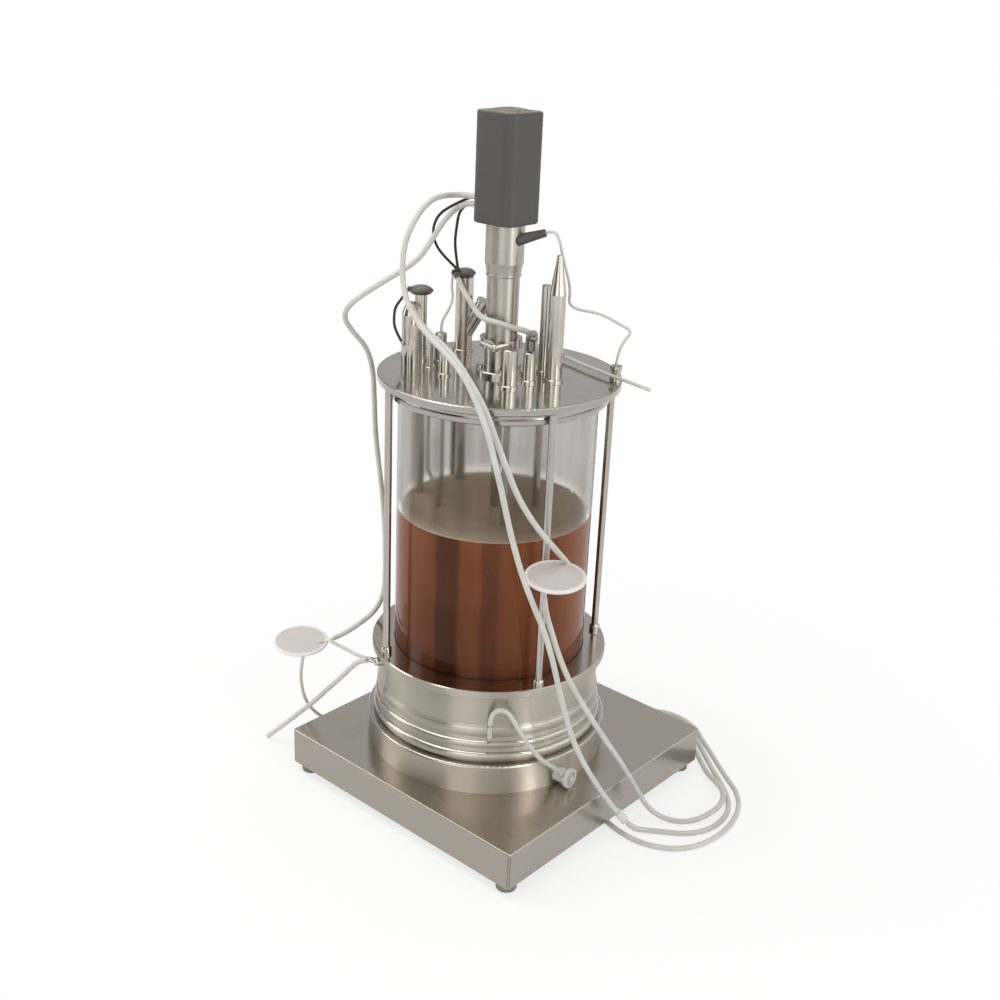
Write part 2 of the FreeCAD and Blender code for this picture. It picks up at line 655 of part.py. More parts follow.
def build_screws():
    up = vec(0, 0, 1)
    plate_screws = [cap_screw(vec(x, y, FOOT_H), up) for x, y in corner_points(POST_INSET)]
    drive_screws = [cap_screw(on_head(place, HEAD_TOP + HOUSING_FLANGE_T), up * -1)
                    for place in housing_screw_places()]
    save("cap_screws", *(plate_screws + drive_screws))


# ---------------------------------------------------------------- plinth, jacket and bowl
def build_plinth():
    r = PLINTH_R
    save("plinth_ring", turned([
        (r - PLINTH_WALL, BASE_TOP), (r, BASE_TOP), (r, PLINTH_TOP - 2.5),
        (r - 0.7, PLINTH_TOP - 0.7, r - 2.5, PLINTH_TOP), (0, PLINTH_TOP), (0, PLINTH_TOP - PLINTH_WALL),
        (r - PLINTH_WALL, PLINTH_TOP - PLINTH_WALL)]))


def bead_outline(offset):
    """Beaded side of the jacket from the bottom up, moved inwards by offset."""
    steps = []
    side = JACKET_R - offset
    for swell, low, height in BEADS:
        root = side + swell * BEAD_ROOT
        z = PLINTH_TOP + low
        steps.append((root, z))
        steps.append((side + swell, z + height / 2, root, z + height))
    return steps


def jacket_outline(grown=0.0):
    """Outer side of the jacket from the axis at its floor to its top, grown by a clearance."""
    side = JACKET_R + grown
    outer = [(0, PLINTH_TOP), (side + JACKET_FLOOR_EXTRA, PLINTH_TOP)] + bead_outline(-grown)
    return outer + [(side, PLINTH_TOP + JACKET_STRAIGHT_RISE), (side, JACKET_TOP)]


def build_jacket():
    outer = jacket_outline()
    inner = [(JACKET_R - JACKET_WALL, JACKET_TOP), (JACKET_R - JACKET_WALL, PLINTH_TOP + JACKET_WALL)]
    inner.append((0, PLINTH_TOP + JACKET_WALL))
    shell = turned(outer + inner)
    for angle, rise in ((OUTLET_ANGLE, OUTLET_RISE), (INLET_ANGLE, INLET_RISE)):
        inside = on_head((JACKET_R - 2 * JACKET_WALL, angle), PLINTH_TOP + rise)
        outside = on_head((JACKET_R + 2 * JACKET_WALL, angle), PLINTH_TOP + rise)
        shell = shell.cut(rod(inside, outside, BASE_NIPPLE_R + FIT))
    save("jacket_shell", shell)


def dish(radius, floor, depth):
    """Arc steps of a dished bottom from its rim to the axis."""
    sphere_r = (radius ** 2 + depth ** 2) / (2 * depth)
    centre_z = floor - depth + sphere_r
    half = math.asin(radius / sphere_r) / 2
    return (sphere_r * math.sin(half), centre_z - sphere_r * math.cos(half), 0, floor - depth)


def build_bowl():
    bore = BOWL_BORE_R
    wall_r = bore + BOWL_WALL
    edge = FLANGE_EDGE
    seat_r = GLASS_R + 2 * SOFT_GAP
    seat_z = FLANGE_TOP - GLASS_SEAT
    outline = [(0, BOWL_FLOOR - BOWL_DISH - BOWL_WALL)]
    under = dish(wall_r, BOWL_FLOOR - BOWL_WALL, BOWL_DISH)
    outline.append((under[0], under[1], wall_r, BOWL_FLOOR - BOWL_WALL))
    outline += [(wall_r, JACKET_TOP), (FLANGE_R - edge, JACKET_TOP), (FLANGE_R, JACKET_TOP + edge),
                (FLANGE_R, FLANGE_TOP - edge), (FLANGE_R - edge, FLANGE_TOP), (seat_r, FLANGE_TOP),
                (seat_r, seat_z), (bore, seat_z), (bore, BOWL_FLOOR), dish(bore, BOWL_FLOOR, BOWL_DISH)]
    bowl = turned(outline)
    for place in rod_places():
        low = on_head(place, FLANGE_TOP - ROD_THREAD)
        bowl = bowl.cut(rod(low, on_head(place, FLANGE_TOP + 1), ROD_R + FIT))
    save("lower_bowl", bowl)


# ---------------------------------------------------------------- glass, headplate and rods
def rod_places():
    return [(ROD_CIRCLE_R, angle) for angle in ROD_ANGLES]


def flat_ring(inner_r, outer_r, z_low, z_high):
    return cylinder(outer_r, z_low, z_high).cut(cylinder(inner_r, z_low - 1, z_high + 1))


def build_glass():
    save("glass_cylinder", flat_ring(GLASS_BORE_R, GLASS_R, GLASS_BOTTOM, GLASS_TOP))
    inner_r = GLASS_BORE_R + SOFT_GAP
    low = flat_ring(inner_r, GLASS_R, GLASS_BOTTOM - SEAL_T, GLASS_BOTTOM)
    high = flat_ring(inner_r, GLASS_R, GLASS_TOP, HEAD_BOTTOM)
    save("glass_seals", low, high)
    top = HEAD_BOTTOM
    bottom = top - CLAMP_H
    waist = (top + bottom) / 2
    bore = CLAMP_BORE_R
    g = CLAMP_GROOVE
    save("clamp_ring", turned([
        (bore, bottom), (CLAMP_R - 1, bottom), (CLAMP_R, bottom + 1), (CLAMP_R, waist - g), (CLAMP_R - g, waist),
        (CLAMP_R, waist + g), (CLAMP_R, top), (bore, top)]))


def head_holes():
    """Hole radius and place of each piece that passes through the headplate."""
    holes = [(LEFT_PORT_R, LEFT_PORT), (REAR_PORT_R, REAR_PORT), (THIN_PORT_R, THIN_PORT),
             (FEED_PORT_R, FEED_PORT), (ANGLED_PORT_R, ANGLED_PORT), (WELL_R, WELL_PORT),
             (CONDENSER_R, CONDENSER_PORT), (SPARGER_PORT_R, SPARGER_PORT)]
    holes += [(NIPPLE_SPIGOT_R, place) for place in NIPPLE_PORTS]
    return holes


def build_headplate():
    r = HEAD_R
    e = HEAD_EDGE_R
    bore = SHAFT_R + RUN_GAP
    plate = turned([
        (bore, HEAD_BOTTOM), (r - e, HEAD_BOTTOM), (r, HEAD_BOTTOM + e), (r, HEAD_TOP - e),
        (r - 0.3 * e, HEAD_TOP - 0.3 * e, r - e, HEAD_TOP), (bore, HEAD_TOP)])
    for radius, place in head_holes():
        plate = plate.cut(rod(on_head(place, HEAD_BOTTOM - 1), on_head(place, HEAD_TOP + 1), radius + FIT))
    for place in rod_places():
        plate = plate.cut(rod(on_head(place, HEAD_BOTTOM - 1), on_head(place, HEAD_BOTTOM + ROD_THREAD),
                              ROD_R + FIT))
    for place in housing_screw_places():
        depth = SCREW_GRIP - HOUSING_FLANGE_T
        plate = plate.cut(rod(on_head(place, HEAD_TOP - depth), on_head(place, HEAD_TOP + 1), SCREW_R + FIT))
    save("headplate", plate)


def build_rods():
    low = FLANGE_TOP - ROD_THREAD
    high = HEAD_BOTTOM + ROD_THREAD
    save("tie_rods", *[rod(on_head(place, low), on_head(place, high), ROD_R) for place in rod_places()])
    collars = []
    for place in rod_places():
        foot = on_head(place, FLANGE_TOP)
        collar = turned([
            (ROD_R + FIT, FLANGE_TOP), (COLLAR_R, FLANGE_TOP), (COLLAR_R, FLANGE_TOP + COLLAR_H - 2),
            (COLLAR_R - 1.4, FLANGE_TOP + COLLAR_H), (ROD_R + FIT, FLANGE_TOP + COLLAR_H)], xy(foot))
        collars.append(collar)
    save("rod_collars", *collars)


# ---------------------------------------------------------------- agitator and drive
def turbine(z):
    """Disc turbine: hub, disc and flat radial blades cut into the disc's rim."""
    hub = cylinder(HUB_R, z - HUB_H / 2, z + HUB_H / 2)
    disc = cylinder(TURBINE_DISC_R, z - TURBINE_DISC_T / 2, z + TURBINE_DISC_T / 2)
    blades = []
    for index in range(TURBINE_BLADES):
        blade = Part.makeBox(BLADE_L, BLADE_T, BLADE_H, vec(TURBINE_R - BLADE_L, -BLADE_T / 2, z - BLADE_H / 2))
        blade.rotate(vec(0, 0, 0), vec(0, 0, 1), index * 360.0 / TURBINE_BLADES)
        blade.translate(vec(VESSEL_X, VESSEL_Y, 0))
        blades.append(blade)
    bore = cylinder(SHAFT_R + FIT, z - HUB_H, z + HUB_H)
    return fused([hub, disc] + blades).cut(bore)


def turbine_heights():
    return (LOWER_TURBINE_Z, LOWER_TURBINE_Z + TURBINE_SPACING)


def build_agitator():
    save("agitator_shaft", cylinder(SHAFT_R, SHAFT_BOTTOM, SHAFT_TOP))
    save("turbines", *[turbine(z) for z in turbine_heights()])
    low = COUPLING_Z
    high = COUPLING_Z + COUPLING_H
    motor_seat = SHAFT_TOP + 2.0
    coupling = turned([
        (0, motor_seat - 1), (0, motor_seat - 2), (SHAFT_R + FIT, motor_seat - 2), (SHAFT_R + FIT, low),
        (COUPLING_R, low), (COUPLING_R, high), (MOTOR_SHAFT_R + FIT, high), (MOTOR_SHAFT_R + FIT, motor_seat - 1)])
    save("shaft_coupling", coupling)
    save("motor_shaft", cylinder(MOTOR_SHAFT_R, motor_seat, MOTOR_BOTTOM + MOTOR_SHAFT_IN))


def bearing(z):
    return flat_ring(SHAFT_R + FIT, BEARING_R, z, z + BEARING_H)


def bearing_heights():
    return (HEAD_TOP + 10.0, COLUMN_TOP - 6.0)


def build_drive():
    lower, upper = bearing_heights()
    bore = SHAFT_R + RUN_GAP
    seat = BEARING_R + FIT
    save("seal_housing", seal_housing(bore, seat, lower))
    save("shaft_bearings", bearing(lower), bearing(upper))

    tube_r = COLUMN_R - COLUMN_WALL
    spigot_r = COLUMN_R - 2.0
    save("drive_column", turned([
        (tube_r - 1, HOUSING_TOP), (FERRULE_R, HOUSING_TOP), (FERRULE_R, HOUSING_TOP + FERRULE_T),
        (COLUMN_R, HOUSING_TOP + FERRULE_T), (COLUMN_R, COLUMN_TOP), (spigot_r, COLUMN_TOP),
        (spigot_r, COLUMN_TOP + SPIGOT_L), (seat, COLUMN_TOP + SPIGOT_L), (seat, upper),
        (seat - 2, upper), (seat - 2, upper - 3), (tube_r - 1, upper - 5)]))

    neck = DRIVE_COLLAR_NECK_R
    wide = DRIVE_COLLAR_R
    bore_r = wide - DRIVE_COLLAR_WALL
    save("drive_collar", drive_collar(neck, wide, bore_r, spigot_r))
    save("column_clamp", column_clamp())


def seal_housing(bore, seat, bearing_z):
    flange_top = HEAD_TOP + HOUSING_FLANGE_T
    body = turned([
        (bore, HEAD_TOP), (HOUSING_FLANGE_R, HEAD_TOP), (HOUSING_FLANGE_R, flange_top - 1),
        (HOUSING_FLANGE_R - 1, flange_top), (HOUSING_R, flange_top), (HOUSING_R, HOUSING_TOP - FERRULE_T),
        (FERRULE_R, HOUSING_TOP - FERRULE_T), (FERRULE_R, HOUSING_TOP), (seat, HOUSING_TOP),
        (seat, bearing_z), (bore, bearing_z)])
    for place in housing_screw_places():
        body = body.cut(rod(on_head(place, HEAD_TOP - 1), on_head(place, flange_top + 1), SCREW_R + FIT))
        body = body.cut(rod(on_head(place, flange_top), on_head(place, flange_top + 6), SCREW_HEAD_R + FIT))
    return body


def drive_collar(neck, wide, bore_r, spigot_r):
    top = DRIVE_COLLAR_TOP
    low = COLUMN_TOP
    body = turned([
        (spigot_r + FIT, low), (neck, low), (neck + 0.6, low + 1.2), (neck, low + 2.4),
        (neck + 0.4 * (wide - neck), low + 0.6 * DRIVE_COLLAR_TAPER, wide, low + DRIVE_COLLAR_TAPER),
        (wide, top), (bore_r, top), (bore_r, low + SPIGOT_L + 1.5), (spigot_r + FIT, low + SPIGOT_L)])
    return body.cut(column_plug_shape(FIT))


def plug_ends():
    """Inner and outer end of the plug on the collar."""
    tip = SENSOR_LEAD[0]
    away = (SENSOR_LEAD[1] - tip).normalize()
    return tip - away * PLUG_L, tip


def column_plug_shape(extra=0.0):
    """Tapered boot of the plug, or its seat in the collar when extra is the clearance."""
    inner, tip = plug_ends()
    return cone_rod(inner, tip, PLUG_ROOT_R + extra, PLUG_TIP_R + extra)


def build_column_plug():
    hollow = cylinder(DRIVE_COLLAR_R - DRIVE_COLLAR_WALL + SOFT_GAP, COLUMN_TOP, DRIVE_COLLAR_TOP)
    save("column_plug", column_plug_shape().cut(hollow))


def column_clamp():
    """Two-piece band over both ferrules with its wing nut on a short stud."""
    mid = HOUSING_TOP
    half = CLAMP_RING_H / 2
    lip = COLUMN_R + SOFT_GAP
    inside = FERRULE_R + FIT
    groove = FERRULE_T + FIT
    band = turned([
        (lip, mid - half), (CLAMP_RING_R, mid - half), (CLAMP_RING_R, mid + half), (lip, mid + half),
        (lip, mid + groove), (inside, mid + groove), (inside, mid - groove), (lip, mid - groove)])
    near = on_head((CLAMP_RING_R - 1, WING_ANGLE), mid)
    far = on_head((CLAMP_RING_R + WING_REACH, WING_ANGLE), mid)
    turn = math.radians(WING_ANGLE + 90)
    side = vec(math.cos(turn), math.sin(turn), 0)
    wings = [cone_rod(far, far + side * (s * WING_L) + vec(0, 0, 5), WING_R, WING_R * 0.7) for s in (-1, 1)]
    return fused([band, rod(near, far, CLAMP_STUD_R), ball(far, WING_R * 1.5)] + wings)


def build_motor():
    z = MOTOR_BOTTOM
    top = z + MOTOR_H
    body = rounded_box(MOTOR_SIDE, MOTOR_SIDE, z, top, MOTOR_CORNER_R)
    body = body.makeFillet(MOTOR_EDGE_R, edges_at(body, top) + edges_at(body, z))
    body.translate(vec(VESSEL_X, VESSEL_Y, 0))
    cap_r = MOTOR_SIDE / 2 - MOTOR_EDGE_R - 1.5
    sphere_r = (cap_r ** 2 + MOTOR_DOME ** 2) / (2 * MOTOR_DOME)
    half = math.asin(cap_r / sphere_r) / 2
    dome = turned([
        (0, top - 1), (cap_r, top - 1), (cap_r, top),
        (sphere_r * math.sin(half), top + MOTOR_DOME - sphere_r * (1 - math.cos(half)), 0, top + MOTOR_DOME)])
    bore = cylinder(MOTOR_SHAFT_R + FIT, z - 1, z + MOTOR_SHAFT_IN + RUN_GAP)
    save("motor_housing", fused([body, dome]).cut(bore))

    face_x = VESSEL_X - MOTOR_SIDE / 2
    corner = vec(face_x - GLAND_T, VESSEL_Y - GLAND_W / 2, z + GLAND_RISE - GLAND_H / 2)
    block = Part.makeBox(GLAND_T, GLAND_W, GLAND_H, corner)
    save("cable_gland", block.makeFillet(1.5, [e for e in block.Edges if e.BoundBox.XMax < face_x - GLAND_T + 0.1]))


# ---------------------------------------------------------------- headplate ports
def port_outline(radius, height, bore_r=0.0, spigot_r=None):
    """Turned port: spigot through the plate, collar on it and a plain neck."""
    wide = radius + PORT_COLLAR_EXTRA
    below = spigot_r or radius
    e = PORT_EDGE
    return [(bore_r, HEAD_BOTTOM - PORT_BELOW), (below, HEAD_BOTTOM - PORT_BELOW), (below, HEAD_TOP),
            (wide, HEAD_TOP), (wide, HEAD_TOP + PORT_COLLAR_H - e), (wide - e, HEAD_TOP + PORT_COLLAR_H),
            (radius, HEAD_TOP + PORT_COLLAR_H), (radius, HEAD_TOP + height - e),
            (radius - e, HEAD_TOP + height), (bore_r, HEAD_TOP + height)]


def plain_port(place, radius, height, bore_r=0.0, spigot_r=None):
    return turned(port_outline(radius, height, bore_r, spigot_r), xy(on_head(place, 0)))


def build_left_port():
    """Probe port with a small trap pot and a closed stub welded to its side."""
    neck = plain_port(LEFT_PORT, LEFT_PORT_R, LEFT_PORT_H)
    mouth = POT_TOP + POT_CONE_H
    shoulder = (POT_R + POT_NECK_R) / 2 + PORT_EDGE
    pot = turned([(0, HEAD_TOP), (POT_R, HEAD_TOP), (POT_R, POT_TOP),
                  (shoulder, POT_TOP + POT_CONE_H / 2, POT_NECK_R, mouth), (0, mouth)], xy(on_head(LEFT_POT, 0)))
    stub = cylinder(LEFT_STUB_R, HEAD_TOP, HEAD_TOP + LEFT_STUB_H, xy(on_head(LEFT_STUB, 0)))
    bridge_z = HEAD_TOP + POT_BRIDGE_RISE
    bridge = rod(on_head(LEFT_PORT, bridge_z), on_head(LEFT_POT, bridge_z), POT_BRIDGE_R)
    feed = elbow(FEED_LINE, 0, on_head(LEFT_POT, FEED_LINE[0].z - ELBOW_L), BASE_NIPPLE_R)
    stud = elbow(LEFT_CABLE, -1, on_head(LEFT_POT, LEFT_CABLE[-1].z - ELBOW_L), CABLE_BARB_R)
    bore = rod(on_head(LEFT_PORT, HEAD_BOTTOM - 2 * PORT_BELOW), on_head(LEFT_PORT, HEAD_TOP + 2 * LEFT_PORT_H),
               PROBE_STEM_R + FIT)
    save("left_port", fused([neck, pot, stub, bridge] + feed + stud).cut(bore))


def build_rear_port():
    """Wide probe port with a slanted side arm."""
    body = plain_port(REAR_PORT, REAR_PORT_R, REAR_PORT_H)
    foot = on_head(REAR_PORT, HEAD_TOP + REAR_ARM_RISE)
    mouth = on_head(REAR_ARM_MOUTH, HEAD_TOP + REAR_ARM_H)
    away = (mouth - foot).normalize()
    arm = rod(foot + away * REAR_ARM_INSIDE, mouth, REAR_ARM_R)
    lip = rod(mouth, mouth + away * REAR_LIP_T, REAR_ARM_R + REAR_LIP_EXTRA)
    bore = cylinder(PROBE_STEM_R + FIT, HEAD_BOTTOM - 2 * PORT_BELOW, HEAD_TOP + 2 * REAR_PORT_H, xy(foot))
    save("rear_port", fused([body, arm, lip]).cut(bore))


def probe(place, port_h, r):
    """Probe: domed head on the port, stem inside it and the sensing end in the liquid."""
    seat = HEAD_TOP + port_h
    centre = xy(on_head(place, 0))
    stem_r = PROBE_STEM_R
    tip = LIQUID_TOP - PROBE_IMMERSION
    shoulder = HEAD_BOTTOM - PORT_BELOW - SOFT_GAP
    return turned([
        (0, tip), (PROBE_R - 2, tip), (PROBE_R, tip + 2), (PROBE_R, shoulder), (stem_r, shoulder), (stem_r, seat),
        (r - 3, seat), (r, seat + PROBE_CAP_H * 0.4),
        (r * 0.72, seat + PROBE_CAP_H * 0.86, 0, seat + PROBE_CAP_H)], centre)


def build_probes():
    left = probe(LEFT_PORT, LEFT_PORT_H, LEFT_CAP_R)
    rear = probe(REAR_PORT, REAR_PORT_H, REAR_CAP_R)
    left_entry = elbow(LEFT_CABLE, 0, LEFT_CAP, CABLE_BARB_R)
    rear_entries = []
    for route in (MOTOR_CABLE_A, MOTOR_CABLE_B):
        rear_entries += elbow(route, -1, REAR_CAP, CABLE_BARB_R)
    rear_entries += elbow(REAR_DROP, 0, REAR_CAP, CABLE_BARB_R)
    rear_entries += elbow(REAR_LINK, 0, REAR_CAP, BASE_NIPPLE_R)
    save("probes", fused([left] + left_entry), fused([rear] + rear_entries))


def build_tall_tubes():
    top = HEAD_TOP + CONDENSER_H
    outline = port_outline(CONDENSER_R, CONDENSER_H)[:-2]
    outline += [(CONDENSER_TIP_R, top + CONDENSER_CONE_H), (0, top + CONDENSER_CONE_H)]
    save("condenser", turned(outline, xy(on_head(CONDENSER_PORT, 0))))

    wide = port_outline(WELL_R, WELL_H)[2:]
    tip = LIQUID_TOP - WELL_IMMERSION
    under = HEAD_BOTTOM - PORT_BELOW
    well = [(0, tip), (WELL_DIP_R - 1, tip), (WELL_DIP_R, tip + 1), (WELL_DIP_R, under), (WELL_R, under)]
    save("thermowell", turned(well + wide, xy(on_head(WELL_PORT, 0))))


def build_short_ports():
    bores = (NIPPLE_BORE_R, NIPPLE_BORE_R, 0.0)
    save("nipple_ports", *[plain_port(place, NIPPLE_R, NIPPLE_H, bore, NIPPLE_SPIGOT_R)
                           for place, bore in zip(NIPPLE_PORTS, bores)])

    body = plain_port(ANGLED_PORT, ANGLED_PORT_R, ANGLED_PORT_H)
    nipple, foot = barb(REAR_LINK, -1, BARB_L, BASE_NIPPLE_R)
    arm = cone_rod(foot, ANGLED_JOINT, BASE_NIPPLE_R + 2.0, ANGLED_PORT_R)
    save("angled_port", fused([body, ball(ANGLED_JOINT, ANGLED_PORT_R), arm, nipple]))

    r = RIM_FITTING_R
    waist = r - RIM_GROOVE
    low = HEAD_TOP + RIM_FITTING_H / 4
    high = HEAD_TOP + RIM_FITTING_H * 0.75
    top = HEAD_TOP + RIM_FITTING_H
    body = turned([(0, HEAD_TOP), (r, HEAD_TOP), (r, low), (waist, low + RIM_GROOVE), (waist, high - RIM_GROOVE),
                   (r, high), (r, top), (0, top)], xy(RIM_TOP))
    nipple, _ = barb(SENSOR_LEAD, -1, RIM_FITTING_R, LEAD_BARB_R)
    post = turned([(0, HEAD_TOP), (RIM_POST_R, HEAD_TOP), (RIM_POST_R, HEAD_TOP + RIM_POST_H - PORT_EDGE),
                   (RIM_POST_R - PORT_EDGE, HEAD_TOP + RIM_POST_H), (0, HEAD_TOP + RIM_POST_H)], xy(POST_FOOT))
    side, _ = barb(RIM_TUBE, 0, 2 * RIM_POST_R, THIN_BARB_R)
    save("rim_fitting", fused([body, nipple]), fused([post, side]))


def build_feed_wye():
    """Two thin tubes from their own ports that join in one stem above the liquid."""
    z_fork = LIQUID_TOP + FEED_FORK_RISE
    fork = on_head(FEED_STEM, z_fork)
    stem = rod(on_head(FEED_STEM, LIQUID_TOP - FEED_IMMERSION), fork, FEED_STEM_R)
    pieces = [stem, ball(fork, FEED_STEM_R)]
    ports = ((THIN_PORT, THIN_PORT_R, THIN_PORT_H), (FEED_PORT, FEED_PORT_R, FEED_PORT_H))
    for place, radius, height in ports:
        bend = on_head(place, z_fork + FEED_SPLIT_H)
        pieces.append(plain_port(place, radius, height))
        pieces.append(rod(bend, on_head(place, HEAD_BOTTOM), FEED_TUBE_R))
        pieces.append(ball(bend, FEED_TUBE_R))
        pieces.append(rod(fork, bend, FEED_TUBE_R))
    save("feed_wye", fused(pieces))


def build_sparger():
    """Gas pipe down to a drilled ring under the lower turbine."""
    ring = Part.makeTorus(SPARGER_RING_R, SPARGER_TUBE_R, vec(VESSEL_X, VESSEL_Y, SPARGER_Z))
    port_r, angle = SPARGER_PORT
    bend = on_head(SPARGER_PORT, SPARGER_Z)
    pipe = rod(bend, on_head(SPARGER_PORT, HEAD_BOTTOM), SPARGER_TUBE_R)
    arm = rod(bend, on_head((SPARGER_RING_R, angle), SPARGER_Z), SPARGER_TUBE_R)
    port = plain_port(SPARGER_PORT, SPARGER_PORT_R, SPARGER_PORT_H)
    body = fused([ring, pipe, arm, ball(bend, SPARGER_TUBE_R), port])
    for index in range(SPARGER_HOLES):
        place = (SPARGER_RING_R, angle + 22.5 + index * 360.0 / SPARGER_HOLES)
        outside = on_head(place, SPARGER_Z - 2 * SPARGER_TUBE_R)
        body = body.cut(rod(on_head(place, SPARGER_Z), outside, SPARGER_HOLE_R))
    save("sparger", body)


# ---------------------------------------------------------------- liquid
def build_liquid():
    """Culture liquid, with room for the turning agitator and the pieces that dip into it."""
    r = BOWL_BORE_R - SOFT_GAP
    low = BOWL_FLOOR - BOWL_DISH + SOFT_GAP
    body = turned([
        (0, LIQUID_TOP), (r, LIQUID_TOP), (r, BOWL_FLOOR + SOFT_GAP),
        dish(r, BOWL_FLOOR + SOFT_GAP, BOWL_FLOOR + SOFT_GAP - low)])
    swept = cylinder(TURBINE_R + RUN_GAP, LOWER_TURBINE_Z - HUB_H / 2 - RUN_GAP, LIQUID_TOP + 1)
    shaft_end = cylinder(SHAFT_R + RUN_GAP, SHAFT_BOTTOM - RUN_GAP, LIQUID_TOP + 1)
    body = body.cut(swept).cut(shaft_end)
    for place in (LEFT_PORT, REAR_PORT):
        body = body.cut(room(place, LIQUID_TOP - PROBE_IMMERSION, PROBE_R))
    body = body.cut(room(WELL_PORT, LIQUID_TOP - WELL_IMMERSION, WELL_DIP_R))
    body = body.cut(room(FEED_STEM, LIQUID_TOP - FEED_IMMERSION, FEED_STEM_R))
    body = body.cut(room(SPARGER_PORT, SPARGER_Z - SPARGER_TUBE_R, SPARGER_TUBE_R))
    ring_low = SPARGER_Z - SPARGER_TUBE_R - SOFT_GAP
    ring_high = SPARGER_Z + SPARGER_TUBE_R + SOFT_GAP
    body = body.cut(cylinder(SPARGER_RING_R + SPARGER_TUBE_R + SOFT_GAP, ring_low, ring_high))
    arm_start = on_head(SPARGER_PORT, SPARGER_Z)
    arm_end = on_head((SPARGER_RING_R, SPARGER_PORT[1]), SPARGER_Z)
    body = body.cut(rod(arm_start, arm_end, SPARGER_TUBE_R + SOFT_GAP))
    save("culture_liquid", body)


def room(place, z_low, radius):
    start = on_head(place, z_low - SOFT_GAP)
    return rod(start, on_head(place, LIQUID_TOP + 1), radius + SOFT_GAP)


# ---------------------------------------------------------------- filters and line fittings
def disc_filter(centre, tilt_axis, tilt, stubs):
    """Welded disc filter with hose stubs; tilt turns its flat axis away from upright."""
    z = centre.z
    half = FILTER_RIM_T / 2
    swell = FILTER_HUB_T / 2
    body = turned([
        (0, z - swell), (FILTER_HUB_R, z - swell), (FILTER_HUB_R + swell, z - half), (FILTER_R - 1, z - half),
        (FILTER_R + FILTER_EDGE_SWELL, z, FILTER_R - 1, z + half), (FILTER_R - FILTER_LIP, z + half),
        (FILTER_R - FILTER_LIP - FILTER_FACE_DROP, z + half - FILTER_FACE_DROP),
        (0, z + half - FILTER_FACE_DROP / 2)], xy(centre))
    body.rotate(centre, tilt_axis, tilt)
    return fused([body] + stubs)


FRONT_FILTER_AT = (130.4, -75.9, 319.8)
LEFT_FILTER_AT = (-185.8, -142.4, 151.3)
FILTER_TILT_AXIS = (0.755, 0.656, 0)


def build_filters():
    front = vec(*FRONT_FILTER_AT)
    stubs = elbow(FEED_LINE, -1, front + vec(-5.5, 26, -1), FILTER_BARB_R)
    stubs += elbow(FEED_FLOOR, 0, front + vec(-2, -4, 0), FILTER_BARB_R)
    save("front_filter", disc_filter(front, vec(*FILTER_TILT_AXIS), 6, stubs))
    left = vec(*LEFT_FILTER_AT)
    stubs = elbow(EXHAUST_LINE, -1, left + vec(14, 10, 0), FILTER_BARB_R)
    stubs += elbow(FILTER_LINK, 0, left + vec(14, 8, 0), THIN_BARB_R)
    stubs += elbow(FILTER_DRAIN, 0, left, THIN_BARB_R)
    save("left_filter", disc_filter(left, vec(*FILTER_TILT_AXIS), 5, stubs))


def build_line_fittings():
    save("line_connector", rod(AIR_LINE[-1], AIR_FLOOR[0], LINE_D / 2 + 1.6))

    hub = OUTLET_HUB
    up = vec(0, 0, 1)
    wall = on_head((JACKET_R - JACKET_WALL, OUTLET_ANGLE), hub.z)
    crown = on_head((JACKET_R + BOSS_T, OUTLET_ANGLE), hub.z)
    boss = rod(wall, crown, BOSS_R).cut(turned(jacket_outline(FIT) + [(0, JACKET_TOP)]))
    body = rod(hub - up * OUTLET_TEE_DROP, hub + up * OUTLET_TEE_R, OUTLET_TEE_R)
    nipple = rod(hub, OUTLET_TUBE[0], OUTLET_BARB_R)
    save("jacket_outlet", fused([boss, rod(wall, hub, BASE_NIPPLE_R), body, nipple]))

    turn = math.radians(CONNECTOR_TURN)
    axis = vec(math.cos(turn), math.sin(turn), 0)
    face = CONNECTOR_FACE
    neck = face - axis * CONNECTOR_FLANGE_T
    barrel = rod(face - axis * CONNECTOR_L, neck, CONNECTOR_R)
    barrel = barrel.cut(cylinder(PLINTH_R + FIT, BASE_TOP, PLINTH_TOP))
    flange = rod(neck, face, CONNECTOR_FLANGE_R)
    recess = rod(face - axis * (CONNECTOR_FLANGE_T * 0.75), face + axis, CONNECTOR_RECESS_R)
    stud = rod(neck, face + axis * CONNECTOR_STUD_OUT, CONNECTOR_STUD_R)
    nose, _ = barb(OUTLET_TUBE, -1, CONNECTOR_NOSE_L, CONNECTOR_NOSE_R)
    save("outlet_connector", fused([barrel, flange.cut(recess), stud, nose]))

    hub = INLET_HUB
    wall = on_head((JACKET_R - JACKET_WALL, INLET_ANGLE), hub.z)
    rim = on_head((JACKET_R + 2 * FIT, INLET_ANGLE), hub.z)
    block = rod(rim, hub, INLET_R).cut(cylinder(JACKET_R + FIT, hub.z - 2 * INLET_R, hub.z + 2 * INLET_R))
    arms = elbow(INLET_TAIL, 0, hub, BASE_NIPPLE_R) + elbow(FILTER_LINK, -1, hub, THIN_BARB_R)
    save("jacket_inlet", fused([rod(wall, hub, BASE_NIPPLE_R), block, ball(hub, INLET_R)] + arms))


def main():
    os.makedirs("parts", exist_ok=True)
    build_base()
    build_screws()
    build_plinth()
    build_jacket()
    build_bowl()
    build_glass()
    build_headplate()
    build_rods()
    build_agitator()
    build_drive()
    build_column_plug()
    build_motor()
    build_left_port()
    build_rear_port()
    build_probes()
    build_tall_tubes()
    build_short_ports()
    build_feed_wye()
    build_sparger()
    build_liquid()
    build_filters()
    build_line_fittings()
    for node, diameter, route in LINES:
        free_line(node, diameter, route)


main()
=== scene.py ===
"""Looks of the bench bioreactor: finishes, culture liquid, free lines, studio and camera."""
import math

